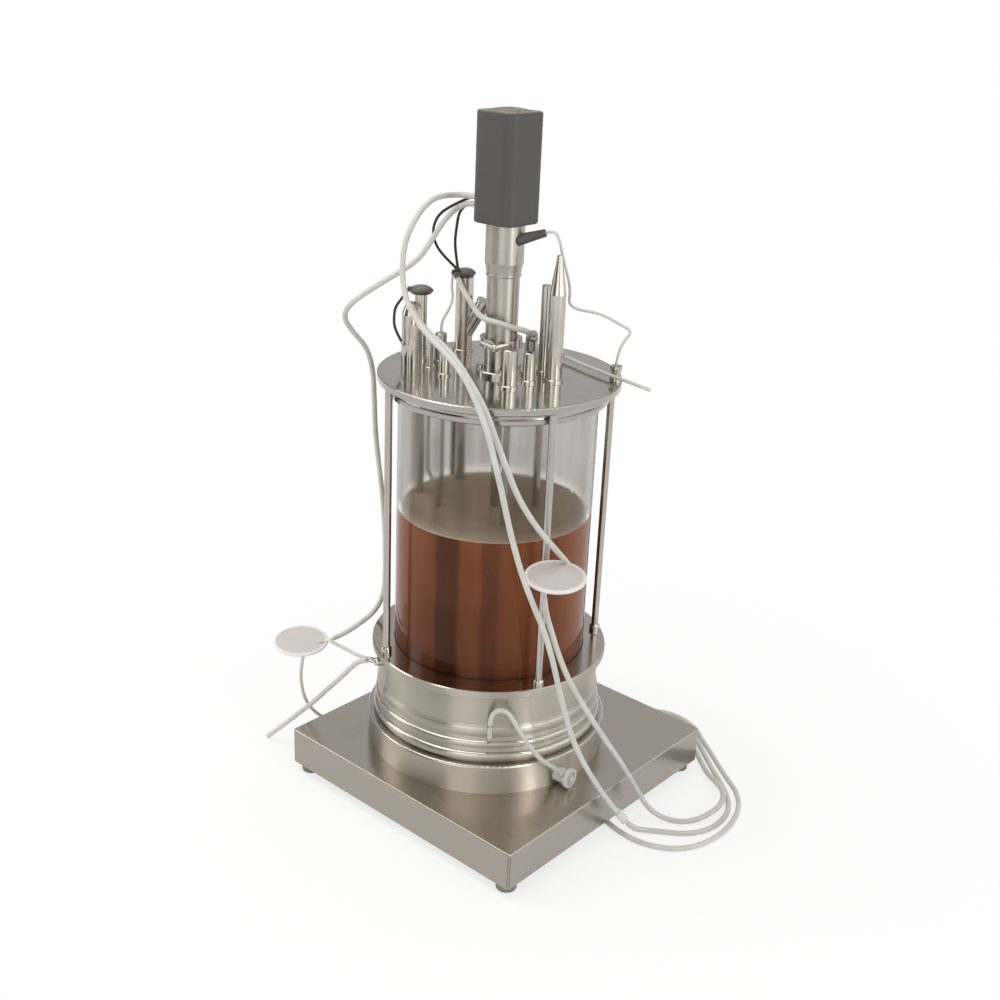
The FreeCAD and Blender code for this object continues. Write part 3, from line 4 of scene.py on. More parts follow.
import bmesh
import bpy
from mathutils import Matrix, Vector


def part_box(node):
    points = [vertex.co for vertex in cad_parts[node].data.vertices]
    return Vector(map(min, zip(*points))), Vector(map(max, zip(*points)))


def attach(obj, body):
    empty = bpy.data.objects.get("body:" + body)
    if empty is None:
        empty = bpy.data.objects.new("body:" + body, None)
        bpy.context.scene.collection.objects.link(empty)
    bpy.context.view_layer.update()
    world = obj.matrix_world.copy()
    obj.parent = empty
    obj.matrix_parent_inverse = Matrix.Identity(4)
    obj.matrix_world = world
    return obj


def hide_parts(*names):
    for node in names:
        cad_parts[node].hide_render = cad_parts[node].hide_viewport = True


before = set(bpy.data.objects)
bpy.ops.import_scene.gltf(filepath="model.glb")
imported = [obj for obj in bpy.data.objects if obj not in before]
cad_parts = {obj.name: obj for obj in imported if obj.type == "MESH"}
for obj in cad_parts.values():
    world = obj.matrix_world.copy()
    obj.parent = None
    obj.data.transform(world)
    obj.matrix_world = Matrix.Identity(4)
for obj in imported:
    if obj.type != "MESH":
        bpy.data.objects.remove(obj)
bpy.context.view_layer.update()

MM = 0.001
STAND = "stand"
VESSEL_AXIS = (-0.014, -0.008)
AXIS = (*VESSEL_AXIS, 0.0)


def into_scene(thing):
    bpy.context.scene.collection.objects.link(thing)


# ---------------------------------------------------------------- camera
CAMERA_AZIMUTH = math.radians(41.02)
CAMERA_ELEVATION = math.radians(20.94)
CAMERA_DISTANCE = 1.4229
CAMERA_TARGET = Vector((-0.014, -0.008, 0.36229))
CAMERA_ROLL = math.radians(2.36)
LENS_MM = 46.744
SENSOR_MM = 36.0
LENS_SHIFT = (0.00486, -0.01724)
NEAREST_SEEN = 0.05
FARTHEST_SEEN = 50.0


def make_camera():
    back = Vector((math.sin(CAMERA_AZIMUTH) * math.cos(CAMERA_ELEVATION),
                   -math.cos(CAMERA_AZIMUTH) * math.cos(CAMERA_ELEVATION),
                   math.sin(CAMERA_ELEVATION)))
    level_right = Vector((math.cos(CAMERA_AZIMUTH), math.sin(CAMERA_AZIMUTH), 0))
    level_up = back.cross(level_right)
    right = level_right * math.cos(CAMERA_ROLL) + level_up * math.sin(CAMERA_ROLL)
    up = level_up * math.cos(CAMERA_ROLL) - level_right * math.sin(CAMERA_ROLL)
    turn = Matrix((right, up, back)).transposed().to_4x4()
    data = bpy.data.cameras.new("studio_camera")
    data.lens = LENS_MM
    data.sensor_width = SENSOR_MM
    data.shift_x, data.shift_y = LENS_SHIFT
    data.clip_start, data.clip_end = NEAREST_SEEN, FARTHEST_SEEN
    camera = bpy.data.objects.new("studio_camera", data)
    camera.matrix_world = Matrix.Translation(CAMERA_TARGET + back * CAMERA_DISTANCE) @ turn
    into_scene(camera)
    bpy.context.scene.camera = camera


make_camera()


# ---------------------------------------------------------------- free lines
# Corner points in millimetres, as the tubes are laid in the part.
LINE_ROUTES = {
    "air_line": [
        (-48.7, -11.8, 667.5), (-64, -11.8, 667.5), (-75, -20, 667.3), (-79.5, -34, 667),
        (-80, -50, 664), (-79, -67, 654), (-78, -87, 631), (-73, -97, 607), (-65, -103, 586),
        (-53, -108, 569), (-37, -110, 555), (-14, -114, 543), (13, -117.5, 532),
        (40, -124.5, 520.5), (62, -128.5, 500), (80, -129.5, 472), (90, -129.5, 445),
        (98.5, -127, 416), (105, -124, 387), (112, -122, 363), (121, -117.5, 332),
        (129.5, -107, 297), (133, -91.5, 264.5), (139, -83, 231), (144, -77, 199),
        (150, -71, 168), (156, -64, 138), (164, -53, 108), (173, -37, 76), (181, -22, 50),
        (185, -12, 36)],
    "air_floor_line": [
        (189, -2, 22), (193, 8, 8), (203, 22, 3.6), (219, 34, 3.1), (237, 47, 3.1),
        (250, 67, 3.1), (254, 93, 3.1), (248, 120, 3.1), (232, 143, 3.1), (209, 162, 3.1),
        (188, 178, 3.1), (168, 194.5, 3.1), (148, 210, 4.5), (127.9, 224.6, 9),
        (103.9, 221.5, 16), (88, 203.4, 22), (88, 180.5, 22)],
    "exhaust_line": [
        (-48.7, -11.8, 660), (-62, -11.8, 660), (-72.5, -17.5, 655), (-77, -29, 645),
        (-79, -41, 631.5), (-80.5, -53, 616), (-85.5, -64, 602), (-97, -75, 591),
        (-118, -93, 573), (-141, -107, 553), (-154, -104, 536), (-159, -85, 515),
        (-163, -62, 495), (-168, -47, 466), (-171, -42, 428), (-170, -41, 388), (-165, -40, 350),
        (-158, -40, 312), (-151, -43, 274), (-144, -48, 234), (-136, -57, 202), (-138, -71, 181),
        (-148, -89, 167), (-157, -101, 157), (-162, -113, 153.5)],
    "feed_line": [
        (-99, -58, 548), (-80, -66, 541), (-52, -78, 535), (-20, -90, 531), (14, -103.5, 523),
        (45.5, -114, 506), (70.5, -121, 487), (82.5, -119.5, 462), (93, -114, 433.5),
        (103, -106, 403), (112, -89, 373), (118, -71, 350), (122, -50, 326.5)],
    "feed_floor_line": [
        (127, -88, 299), (129, -87, 284), (134, -82, 262), (140, -77, 238), (148, -69, 210),
        (157, -56, 181), (164, -40, 152), (170, -20, 120), (174, 0, 91), (179, 16, 64),
        (184, 30, 38), (190, 42, 16), (202, 52, 5), (219, 60, 3.1), (233, 74, 5), (241, 95, 9.5),
        (240, 118, 10.5), (228, 139, 10.5), (208, 152, 8), (187, 167, 3.1), (168, 183, 3.1),
        (149, 198, 5), (130.2, 213.4, 9.5), (114.5, 211.4, 16.5), (104, 199.5, 22),
        (104, 180.5, 22)],
    "return_line": [
        (130, 12, 3.1), (154, 6, 3.1), (180, -1, 3.1), (206, -2, 3.1), (230, 6, 3.1),
        (249, 21, 3.1), (261, 43, 3.1), (266, 71, 3.1), (264, 102, 3.1), (254, 133, 3.1),
        (236, 157, 3.1), (211, 174, 3.1), (187, 191.5, 3.1), (166, 208, 3.1), (145, 222, 4),
        (124.3, 236.7, 8), (92.9, 232.6, 15.5), (72, 208.9, 22), (72, 180.5, 22)],
    "filter_link": [
        (-157, -121.5, 154), (-147, -118.5, 151.5), (-132, -119, 152), (-114, -119.5, 151.5),
        (-91, -120, 156)],
    "inlet_tail": [
        (-90, -127.5, 158.5), (-98, -131, 155.5), (-107, -133, 147), (-124, -136, 126),
        (-145, -138, 103), (-170, -139, 75), (-194, -141, 51), (-219, -145, 25),
        (-240, -151.5, 3.5)],
    "filter_drain": [
        (-183.5, -140, 139.5), (-185, -141, 128), (-188.5, -141, 112), (-193, -137.5, 94),
        (-197.5, -131, 73), (-201, -121, 52), (-200.5, -108, 34), (-191, -95, 22),
        (-177, -95, 22)],
    "outlet_tube": [
        (78, -105.6, 138.5), (78, -105.6, 153.5), (92.5, -96.7, 160.5), (104.5, -87.7, 134),
        (112.5, -79.5, 115), (121, -69.5, 98), (126.7, -54.8, 85.1), (128.2, -44, 74.1)],
    "motor_cable_a": [
        (-48.7, -4.2, 667.5), (-59, -4.2, 667.5), (-75, -5.6, 660.9), (-88, -13.1, 652.8),
        (-99, -19.6, 643.2), (-105.5, -20.6, 627.6), (-108.5, -14.1, 612.6), (-108, -2.1, 597.5),
        (-103.5, 13.9, 583)],
    "motor_cable_b": [
        (-48.7, -4.2, 660), (-58, -4.2, 660), (-70.5, -7.1, 656.8), (-79, -8.6, 647.7),
        (-83, -7.1, 633.6), (-88.5, -3.6, 616.5), (-93, 2.8, 601.4), (-97.6, 11.8, 583.4)],
    "left_port_cable": [
        (-111.1, -51.5, 564.4), (-113.1, -57, 556.9), (-117.1, -63, 547.9), (-116.5, -65.5, 536),
        (-115, -65.5, 524), (-110.5, -60, 511.5)],
    "sensor_lead": [
        (27.3, 6.7, 640.2), (34.5, 11.3, 643), (38.3, 16, 633.9), (38.7, 21, 617.9),
        (40, 28, 599.8), (41.5, 34.5, 580.8), (37.5, 37, 560.2), (64, 60, 556.1), (81, 71, 545.6),
        (91.5, 80, 539), (86.5, 72.5, 528.5), (84, 68, 517.9), (83.3, 66.6, 506.4)],
    "rim_tube": [
        (5.3, 78, 493.5), (47.8, 66, 493.5), (91.3, 56.4, 493.5), (118.8, 52, 493.3),
        (140, 48.5, 492.5)],
    "rear_port_drop": [
        (-106.1, 13.2, 574.5), (-103.1, 7.9, 564.5), (-97.1, 5, 551.6), (-92.5, -4.5, 542.8),
        (-88, -16, 536.9), (-83.5, -26.6, 531), (-83.5, -26.6, 520.4)],
    "rear_port_link": [
        (-96, 10.6, 572.5), (-87, 9, 562), (-73, 3.9, 554.6), (-55, -7.5, 550.6),
        (-27.5, -27.9, 549.7), (-8.8, -36.6, 549.8), (4, -32.7, 548.9), (12.5, -19.6, 542.9),
        (14, -2, 538), (8, 14, 531)],
}

# Name, diameter in mm, length in mm, slot, far end and the pieces on the line.
LINE_FACTS = (
    ("air_line", 6.0, 820, "silicone", "connector", ["line_connector"]),
    ("air_floor_line", 6.0, 384, "silicone", "object", []),
    ("exhaust_line", 6.0, 645, "silicone", "fitting", ["left_filter"]),
    ("feed_line", 6.0, 382, "silicone", "fitting", ["front_filter"]),
    ("feed_floor_line", 6.0, 622, "silicone", "object", []),
    ("return_line", 6.0, 500, "silicone", "object", []),
    ("filter_link", 4.0, 67, "silicone", "object", []),
    ("inlet_tail", 6.0, 218, "silicone", "bare", []),
    ("filter_drain", 4.0, 147, "silicone", "object", []),
    ("outlet_tube", 5.4, 138, "silicone", "connector", ["outlet_connector"]),
    ("motor_cable_a", 3.0, 134, "cable_rubber", "object", []),
    ("motor_cable_b", 3.0, 105, "cable_rubber", "object", []),
    ("left_port_cable", 3.0, 59, "cable_rubber", "object", []),
    ("sensor_lead", 3.0, 199, "silicone", "object", []),
    ("rim_tube", 4.0, 138, "silicone", "bare", []),
    ("rear_port_drop", 3.0, 76, "silicone", "object", []),
    ("rear_port_link", 6.0, 172, "silicone", "object", []),
)
LINE_ROUNDNESS = 5
LINE_STEPS = 10


def lay_line(name, diameter, length, slot, far_end, pieces_on_it):
    """A flexible line as one smooth spline.

    Each point's radius carries the line's own, so that the curve's box stays tight.
    """
    route = [tuple(c * MM for c in point) for point in LINE_ROUTES[name]]
    data = bpy.data.curves.new(name, "CURVE")
    data.dimensions = "3D"
    data.bevel_depth = 1.0
    data.bevel_resolution = LINE_ROUNDNESS
    data.use_fill_caps = True
    data.resolution_u = LINE_STEPS
    spline = data.splines.new("NURBS")
    spline.points.add(len(route) - 1)
    for point, place in zip(spline.points, route):
        point.co = (*place, 1.0)
        point.radius = diameter * MM / 2
    spline.order_u = 3
    spline.use_endpoint_u = True
    line = bpy.data.objects.new(name + "_tube", data)
    into_scene(line)
    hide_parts(name)
    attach(line, STAND)
    return line


lines = {facts[0]: lay_line(*facts) for facts in LINE_FACTS}


# ---------------------------------------------------------------- node helpers
def link(tree, source, target):
    tree.links.new(source, target)


def feed(tree, value, target):
    """Join a socket to the target, or write a number, vector or colour on it."""
    if isinstance(value, bpy.types.NodeSocket):
        link(tree, value, target)
    elif target.type == "RGBA":
        target.default_value = (*value, 1.0)
    else:
        target.default_value = value


def node(tree, kind, **settings):
    made = tree.nodes.new(kind)
    for key, value in settings.items():
        setattr(made, key, value)
    return made


def maths(tree, operation, first, second=None, clamp=False):
    made = node(tree, "ShaderNodeMath", operation=operation, use_clamp=clamp)
    feed(tree, first, made.inputs[0])
    if second is not None:
        feed(tree, second, made.inputs[1])
    return made.outputs[0]


def vector_maths(tree, operation, first, second=None):
    made = node(tree, "ShaderNodeVectorMath", operation=operation)
    link(tree, first, made.inputs[0])
    if second is not None:
        feed(tree, second, made.inputs[1])
    return made.outputs["Value" if operation == "LENGTH" else "Vector"]


def stretch_range(tree, value, from_low, from_high, to_low, to_high):
    made = node(tree, "ShaderNodeMapRange", clamp=True)
    link(tree, value, made.inputs["Value"])
    ends = {"From Min": from_low, "From Max": from_high, "To Min": to_low, "To Max": to_high}
    for key, number in ends.items():
        feed(tree, number, made.inputs[key])
    return made.outputs["Result"]


def place_on_piece(tree):
    return node(tree, "ShaderNodeTexCoord").outputs["Object"]


def xyz_of(tree, vector):
    parts = node(tree, "ShaderNodeSeparateXYZ")
    link(tree, vector, parts.inputs[0])
    return parts.outputs


def angle_of(tree, parts):
    """Compass angle of a vector's parts, in radians."""
    return maths(tree, "ARCTAN2", parts["Y"], parts["X"])


def share_of_turn(tree, parts):
    """Compass angle of a vector's parts, from 0 to 1 round a full turn."""
    return maths(tree, "ADD", maths(tree, "DIVIDE", angle_of(tree, parts), 2 * math.pi), 0.5)


def noise(tree, place, scale, detail, **shape):
    made = node(tree, "ShaderNodeTexNoise")
    link(tree, place, made.inputs["Vector"])
    feed(tree, scale, made.inputs["Scale"])
    made.inputs["Detail"].default_value = detail
    for key, value in shape.items():
        made.inputs[key].default_value = value
    return made.outputs[0]


def grey_ramp(tree, value, levels):
    """Grey level read off a soft ramp, from pairs of place and level."""
    ramp = node(tree, "ShaderNodeValToRGB")
    ramp.color_ramp.interpolation = "EASE"
    stops = ramp.color_ramp.elements
    for index, (where, level) in enumerate(levels):
        stop = stops[index] if index < 2 else stops.new(where)
        stop.position = where
        stop.color = (level, level, level, 1.0)
    link(tree, value, ramp.inputs["Fac"])
    return ramp.outputs["Color"]


def blended_colour(tree, mask, first, second):
    """Colour that goes from first to second as the mask goes from 0 to 1."""
    mix = node(tree, "ShaderNodeMix", data_type="RGBA")
    link(tree, mask, mix.inputs["Factor"])
    feed(tree, first, mix.inputs["A"])
    feed(tree, second, mix.inputs["B"])
    return mix.outputs["Result"]


def blended_shader(tree, share, first, second):
    mix = node(tree, "ShaderNodeMixShader")
    link(tree, share, mix.inputs["Fac"])
    link(tree, first, mix.inputs[1])
    link(tree, second, mix.inputs[2])
    return mix.outputs[0]


def new_group(name, inputs, outputs):
    """Shader node group with named sockets; inputs are (name, type, default)."""
    group = bpy.data.node_groups.new(name, "ShaderNodeTree")
    for socket_name, kind, default in inputs:
        socket = group.interface.new_socket(name=socket_name, in_out="INPUT", socket_type=kind)
        socket.default_value = default
    for socket_name, kind in outputs:
        group.interface.new_socket(name=socket_name, in_out="OUTPUT", socket_type=kind)
    return group, node(group, "NodeGroupInput").outputs, node(group, "NodeGroupOutput").inputs


# ---------------------------------------------------------------- effects that finishes share
FLOAT = "NodeSocketFloat"
VECTOR = "NodeSocketVector"
FINE_SHARE = 0.65
BROAD_SHARE = 0.35
BROAD_SCALE = 9.0
SHINE_SWING = 4.0
SCRATCHES_ROUND = 2.0
DUSTY_FROM = 0.6
DUST_COVER = (0.22, 0.62)


def uneven_shine(group, given, grain):
    """Roughness about Shine, which the grain moves up and down within Spread."""
    swing = maths(group, "MULTIPLY", maths(group, "SUBTRACT", grain, 0.5), given["Spread"])
    lift = maths(group, "MULTIPLY", swing, SHINE_SWING)
    return maths(group, "ADD", given["Shine"], lift, clamp=True)


def build_brushed_grain():
    """Fine parallel scratches: grain runs along the direction whose stretch is smallest."""
    group, given, out = new_group(
        "brushed_grain",
        [("Stretch", VECTOR, (900.0, 12.0, 900.0)), ("Shine", FLOAT, 0.25), ("Spread", FLOAT, 0.08)],
        [("Height", FLOAT), ("Roughness", FLOAT)])
    place = place_on_piece(group)
    fine = noise(group, vector_maths(group, "MULTIPLY", place, given["Stretch"]), 1.0, 3.0)
    broad = noise(group, place, BROAD_SCALE, 2.0)
    both = maths(group, "ADD", maths(group, "MULTIPLY", fine, FINE_SHARE),
                 maths(group, "MULTIPLY", broad, BROAD_SHARE))
    link(group, fine, out["Height"])
    link(group, uneven_shine(group, given, both), out["Roughness"])
    return group


def build_turned_grain():
    """Scratches that run round an upright axis, as turning or rolling leaves them."""
    group, given, out = new_group(
        "turned_grain",
        [("Axis", VECTOR, (0.0, 0.0, 0.0)), ("Pitch", FLOAT, 1500.0), ("Shine", FLOAT, 0.2),
         ("Spread", FLOAT, 0.06)],
        [("Height", FLOAT), ("Roughness", FLOAT)])
    parts = xyz_of(group, vector_maths(group, "SUBTRACT", place_on_piece(group), given["Axis"]))
    squared = maths(group, "ADD", maths(group, "MULTIPLY", parts["X"], parts["X"]),
                    maths(group, "MULTIPLY", parts["Y"], parts["Y"]))
    radius = maths(group, "SQRT", squared)
    rings = node(group, "ShaderNodeCombineXYZ")
    link(group, maths(group, "MULTIPLY", angle_of(group, parts), SCRATCHES_ROUND), rings.inputs["X"])
    link(group, maths(group, "MULTIPLY", radius, given["Pitch"]), rings.inputs["Y"])
    link(group, maths(group, "MULTIPLY", parts["Z"], given["Pitch"]), rings.inputs["Z"])
    fine = noise(group, rings.outputs[0], 1.0, 2.0)
    link(group, fine, out["Height"])
    link(group, uneven_shine(group, given, fine), out["Roughness"])
    return group


def build_handling_marks():
    """Soft blotches where hands and cloths have been: a mask from 0 to 1."""
    group, given, out = new_group(
        "handling_marks",
        [("Size", FLOAT, 14.0), ("Low", FLOAT, 0.5), ("High", FLOAT, 0.75)], [("Mask", FLOAT)])
    blotch = noise(group, place_on_piece(group), given["Size"], 5.0, Roughness=0.6, Distortion=0.6)
    link(group, stretch_range(group, blotch, given["Low"], given["High"], 0.0, 1.0), out["Mask"])
    return group


def build_settled_dust():
    """Thin dust on faces that look up: a mask from 0 to 1."""
    group, given, out = new_group(
        "settled_dust", [("Amount", FLOAT, 0.2), ("Size", FLOAT, 60.0)], [("Mask", FLOAT)])
    facing = xyz_of(group, node(group, "ShaderNodeNewGeometry").outputs["Normal"])
    facing_up = stretch_range(group, facing["Z"], DUSTY_FROM, 1.0, 0.0, 1.0)
    speck = noise(group, place_on_piece(group), given["Size"], 6.0)
    cover = stretch_range(group, speck, *DUST_COVER, 0.0, 1.0)
    mask = maths(group, "MULTIPLY", maths(group, "MULTIPLY", facing_up, cover), given["Amount"])
    link(group, mask, out["Mask"])
    return group


def build_above_height():
    """Mask that is 0 under a height and 1 over it."""
    group, given, out = new_group(
        "above_height", [("Height", FLOAT, 0.3), ("Blend", FLOAT, 0.001)], [("Mask", FLOAT)])
    parts = xyz_of(group, place_on_piece(group))
    top = maths(group, "ADD", given["Blend"], given["Height"])
    link(group, stretch_range(group, parts["Z"], given["Height"], top, 0.0, 1.0), out["Mask"])
    return group


def build_round_rim():
    """Mask that is 1 from a radius outwards, round a centre."""
    group, given, out = new_group(
        "round_rim",
        [("Centre", VECTOR, (0.0, 0.0, 0.0)), ("Inner", FLOAT, 0.02), ("Outer", FLOAT, 0.03)],
        [("Mask", FLOAT)])
    away = vector_maths(group, "SUBTRACT", place_on_piece(group), given["Centre"])
    reach = vector_maths(group, "LENGTH", away)
    link(group, stretch_range(group, reach, given["Inner"], given["Outer"], 0.0, 1.0), out["Mask"])
    return group


def build_upright_faces():
    """Mask that is 1 on walls and 0 on faces that look up."""
    group, given, out = new_group(
        "upright_faces", [("Start", FLOAT, 0.25), ("End", FLOAT, 0.7)], [("Mask", FLOAT)])
    facing = xyz_of(group, node(group, "ShaderNodeNewGeometry").outputs["Normal"])
    mask = stretch_range(group, facing["Z"], given["Start"], given["End"], 1.0, 0.0)
    link(group, mask, out["Mask"])
    return group


BRUSHED_GRAIN = build_brushed_grain()
TURNED_GRAIN = build_turned_grain()
HANDLING_MARKS = build_handling_marks()
SETTLED_DUST = build_settled_dust()
ABOVE_HEIGHT = build_above_height()
ROUND_RIM = build_round_rim()
UPRIGHT_FACES = build_upright_faces()


def placed_group(tree, group, **values):
    made = node(tree, "ShaderNodeGroup", node_tree=group)
    for key, value in values.items():
        made.inputs[key].default_value = value
    return made.outputs


def handled_mask(tree, marks):
    """Mask of handling marks from their size and the range of noise that shows."""
    size, low, high = marks
    return placed_group(tree, HANDLING_MARKS, Size=size, Low=low, High=high)["Mask"]


# ---------------------------------------------------------------- metal finishes
STEEL_BUMP = 0.0001
HANDLED_DULLING = 0.05
ROUND_THE_WALL = 0.25


def new_finish(name):
    material = bpy.data.materials.new(name)
    material.use_nodes = True
    tree = material.node_tree
    return material, tree, tree.nodes["Principled BSDF"]


def add_bump(tree, shader, height, strength, distance):
    bump = node(tree, "ShaderNodeBump")
    bump.inputs["Strength"].default_value = strength
    bump.inputs["Distance"].default_value = distance
    link(tree, height, bump.inputs["Height"])
    link(tree, bump.outputs["Normal"], shader.inputs["Normal"])


def steel_finish(name, clean, marked, grain, bump, marks=(14.0, 0.5, 0.78), streaks=0.0,
                 wall=None, level_shine=None):
    """Bare steel: grain from its group, with tone and shine changed where it has been handled.

    wall is the darker tone of upright faces, painted shade; level_shine the roughness of those that
    look up.
    """
    grain_group, grain_values = grain
    material, tree, shader = new_finish(name)
    shader.inputs["Metallic"].default_value = 1.0
    shader.inputs["Anisotropic"].default_value = streaks
    shader.inputs["Anisotropic Rotation"].default_value = ROUND_THE_WALL
    worked = placed_group(tree, grain_group, **grain_values)
    handled = handled_mask(tree, marks)
    tone = blended_colour(tree, handled, clean, marked)
    rough = maths(tree, "ADD", worked["Roughness"],
                  maths(tree, "MULTIPLY", handled, HANDLED_DULLING), clamp=True)
    # Upright faces take the darker wall tone: painted shade on the walls of the same steel.
    if wall:
        standing = placed_group(tree, UPRIGHT_FACES, Start=0.25, End=0.7)["Mask"]
        tone = blended_colour(tree, standing, tone, wall)
        if level_shine is not None:
            gap = level_shine - grain_values["Shine"]
            rough = maths(tree, "ADD", rough, stretch_range(tree, standing, 0.0, 1.0, gap, 0.0),
                          clamp=True)
    link(tree, tone, shader.inputs["Base Color"])
    link(tree, rough, shader.inputs["Roughness"])
    add_bump(tree, shader, worked["Height"], bump, STEEL_BUMP)
    return material


def brushed(stretch, shine, spread):
    return BRUSHED_GRAIN, {"Stretch": stretch, "Shine": shine, "Spread": spread}


def turned(pitch, shine, spread):
    return TURNED_GRAIN, {"Axis": AXIS, "Pitch": pitch, "Shine": shine, "Spread": spread}


# The wall tones are painted shade: the same steel, darker on its upright faces.
base_sheet = steel_finish(
    "satin_base_sheet", clean=(0.56, 0.51, 0.455), marked=(0.50, 0.455, 0.40),
    grain=brushed((14.0, 1400.0, 1400.0), 0.23, 0.05), bump=0.05, wall=(0.37, 0.335, 0.295))
jacket_steel = steel_finish(
    "rolled_jacket_steel", clean=(0.56, 0.52, 0.475), marked=(0.50, 0.46, 0.415),
    grain=turned(1400.0, 0.34, 0.04), bump=0.05, streaks=1.0, wall=(0.455, 0.415, 0.36),
    level_shine=0.10)
mirror_steel = steel_finish(
    "polished_plate_steel", clean=(0.56, 0.53, 0.49), marked=(0.46, 0.435, 0.40),
    grain=turned(900.0, 0.12, 0.03), bump=0.02, marks=(22.0, 0.45, 0.75), wall=(0.40, 0.38, 0.345))
rod_steel = steel_finish(
    "polished_rod_steel", clean=(0.45, 0.425, 0.39), marked=(0.39, 0.365, 0.335),
    grain=brushed((1200.0, 1200.0, 20.0), 0.14, 0.04), bump=0.03)
turned_steel = steel_finish(
    "turned_fitting_steel", clean=(0.53, 0.495, 0.45), marked=(0.42, 0.39, 0.35),
    grain=turned(1800.0, 0.20, 0.06), bump=0.04, marks=(40.0, 0.45, 0.75))
column_steel = steel_finish(
    "drive_column_steel", clean=(0.42, 0.39, 0.35), marked=(0.365, 0.338, 0.30),
    grain=turned(1600.0, 0.34, 0.05), bump=0.04, marks=(30.0, 0.5, 0.8), streaks=0.6)
coupling_metal = steel_finish(
    "anodised_coupling", clean=(0.70, 0.70, 0.71), marked=(0.60, 0.60, 0.61),
    grain=turned(1500.0, 0.3, 0.05), bump=0.04)


# ---------------------------------------------------------------- paint, plastic and rubber
DUST = (0.42, 0.38, 0.33)
PEBBLE_BUMP = 0.0002
CAP_TONES = ((0.065, 0.062, 0.058), (0.10, 0.095, 0.088))
CAP_MARKS = (50.0, 0.45, 0.75)
CAP_DUST = 0.35


def moulded_finish(name, tones, shines, marks, dust_amount, dust_tone=DUST, dust_size=80.0,
                   pebble=(900.0, 0.15)):
    """Paint, plastic or rubber: fine pebble, handled patches and a little dust on top faces.

    tones and shines are each a pair, clean and worn; pebble is a scale and a strength.
    """
    pebble_scale, pebble_strength = pebble
    material, tree, shader = new_finish(name)
    handled = handled_mask(tree, marks)
    dust = placed_group(tree, SETTLED_DUST, Amount=dust_amount, Size=dust_size)["Mask"]
    tone = blended_colour(tree, dust, blended_colour(tree, handled, *tones), dust_tone)
    link(tree, tone, shader.inputs["Base Color"])
    link(tree, stretch_range(tree, handled, 0.0, 1.0, *shines), shader.inputs["Roughness"])
    pebbles = noise(tree, place_on_piece(tree), pebble_scale, 2.0)
    add_bump(tree, shader, pebbles, pebble_strength, PEBBLE_BUMP)
    return material


# Its faces that look up turn pale brown over most of their area, through the settled_dust group.
motor_paint = moulded_finish(
    "dark_grey_motor_paint", ((0.063, 0.062, 0.060), (0.076, 0.074, 0.071)), (0.52, 0.44),
    (9.0, 0.45, 0.8), 0.80, (0.33, 0.275, 0.225), 260.0, (1100.0, 0.10))
dark_plastic = moulded_finish("dark_cap_plastic", CAP_TONES, (0.42, 0.55), CAP_MARKS, CAP_DUST)
clear_plastic = moulded_finish(
    "line_fitting_plastic", ((0.72, 0.71, 0.68), (0.66, 0.65, 0.61)), (0.22, 0.35),
    (60.0, 0.4, 0.8), 0.05)
silicone = moulded_finish(
    "silicone_tube", ((0.63, 0.63, 0.59), (0.53, 0.53, 0.485)), (0.28, 0.42),
    (26.0, 0.40, 0.75), 0.05, pebble=(220.0, 0.012))
cable_rubber = moulded_finish(
    "cable_jacket", ((0.012, 0.012, 0.012), (0.03, 0.029, 0.028)), (0.38, 0.5),
    (80.0, 0.5, 0.8), 0.15)
foot_rubber = moulded_finish(
    "foot_rubber", ((0.20, 0.185, 0.165), (0.27, 0.25, 0.225)), (0.5, 0.65),
    (60.0, 0.45, 0.75), 0.1)
seal_rubber = moulded_finish(
    "seal_rubber", ((0.10, 0.098, 0.094), (0.16, 0.155, 0.148)), (0.5, 0.6),
    (60.0, 0.45, 0.75), 0.05)


def make_milky(material):
    """Let light into the silicone's wall, so that the tubes look soft and a little cloudy."""
    shader = material.node_tree.nodes["Principled BSDF"]
    shader.inputs["Subsurface Weight"].default_value = 0.3
    shader.inputs["Subsurface Radius"].default_value = (0.004, 0.004, 0.0036)
    shader.inputs["Subsurface Scale"].default_value = 1.0


make_milky(silicone)

# How far the middle of each filter's face lies under the top of its box.
FILTER_DROP = {"front_filter": 0.0084, "left_filter": 0.0055}
FILTER_RIM_START = 0.0272
FILTER_RIM_FULL = 0.0290


def filter_finish(name, node_name):
    """Pinkish pressed face inside a welded rim, which is painted paler as a painted highlight."""
    material = moulded_finish(
        name, ((0.63, 0.58, 0.555), (0.57, 0.52, 0.50)), (0.42, 0.54), (34.0, 0.4, 0.8), 0.1,
        (0.55, 0.51, 0.48), pebble=(420.0, 0.05))
    tree = material.node_tree
    shader = tree.nodes["Principled BSDF"]
    face = shader.inputs["Base Color"].links[0].from_socket
    low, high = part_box(node_name)
    centre = ((low.x + high.x) / 2, (low.y + high.y) / 2, high.z - FILTER_DROP[node_name])
    rim = placed_group(tree, ROUND_RIM, Centre=centre, Inner=FILTER_RIM_START,
                       Outer=FILTER_RIM_FULL)
    # Paler rim tone: a painted highlight along the lip.
    tone = blended_colour(tree, rim["Mask"], face, (0.80, 0.775, 0.75))
    link(tree, tone, shader.inputs["Base Color"])
    return material


# Height over the headplate's top where the probes' dark caps begin to show.
CAP_RISE = 0.03


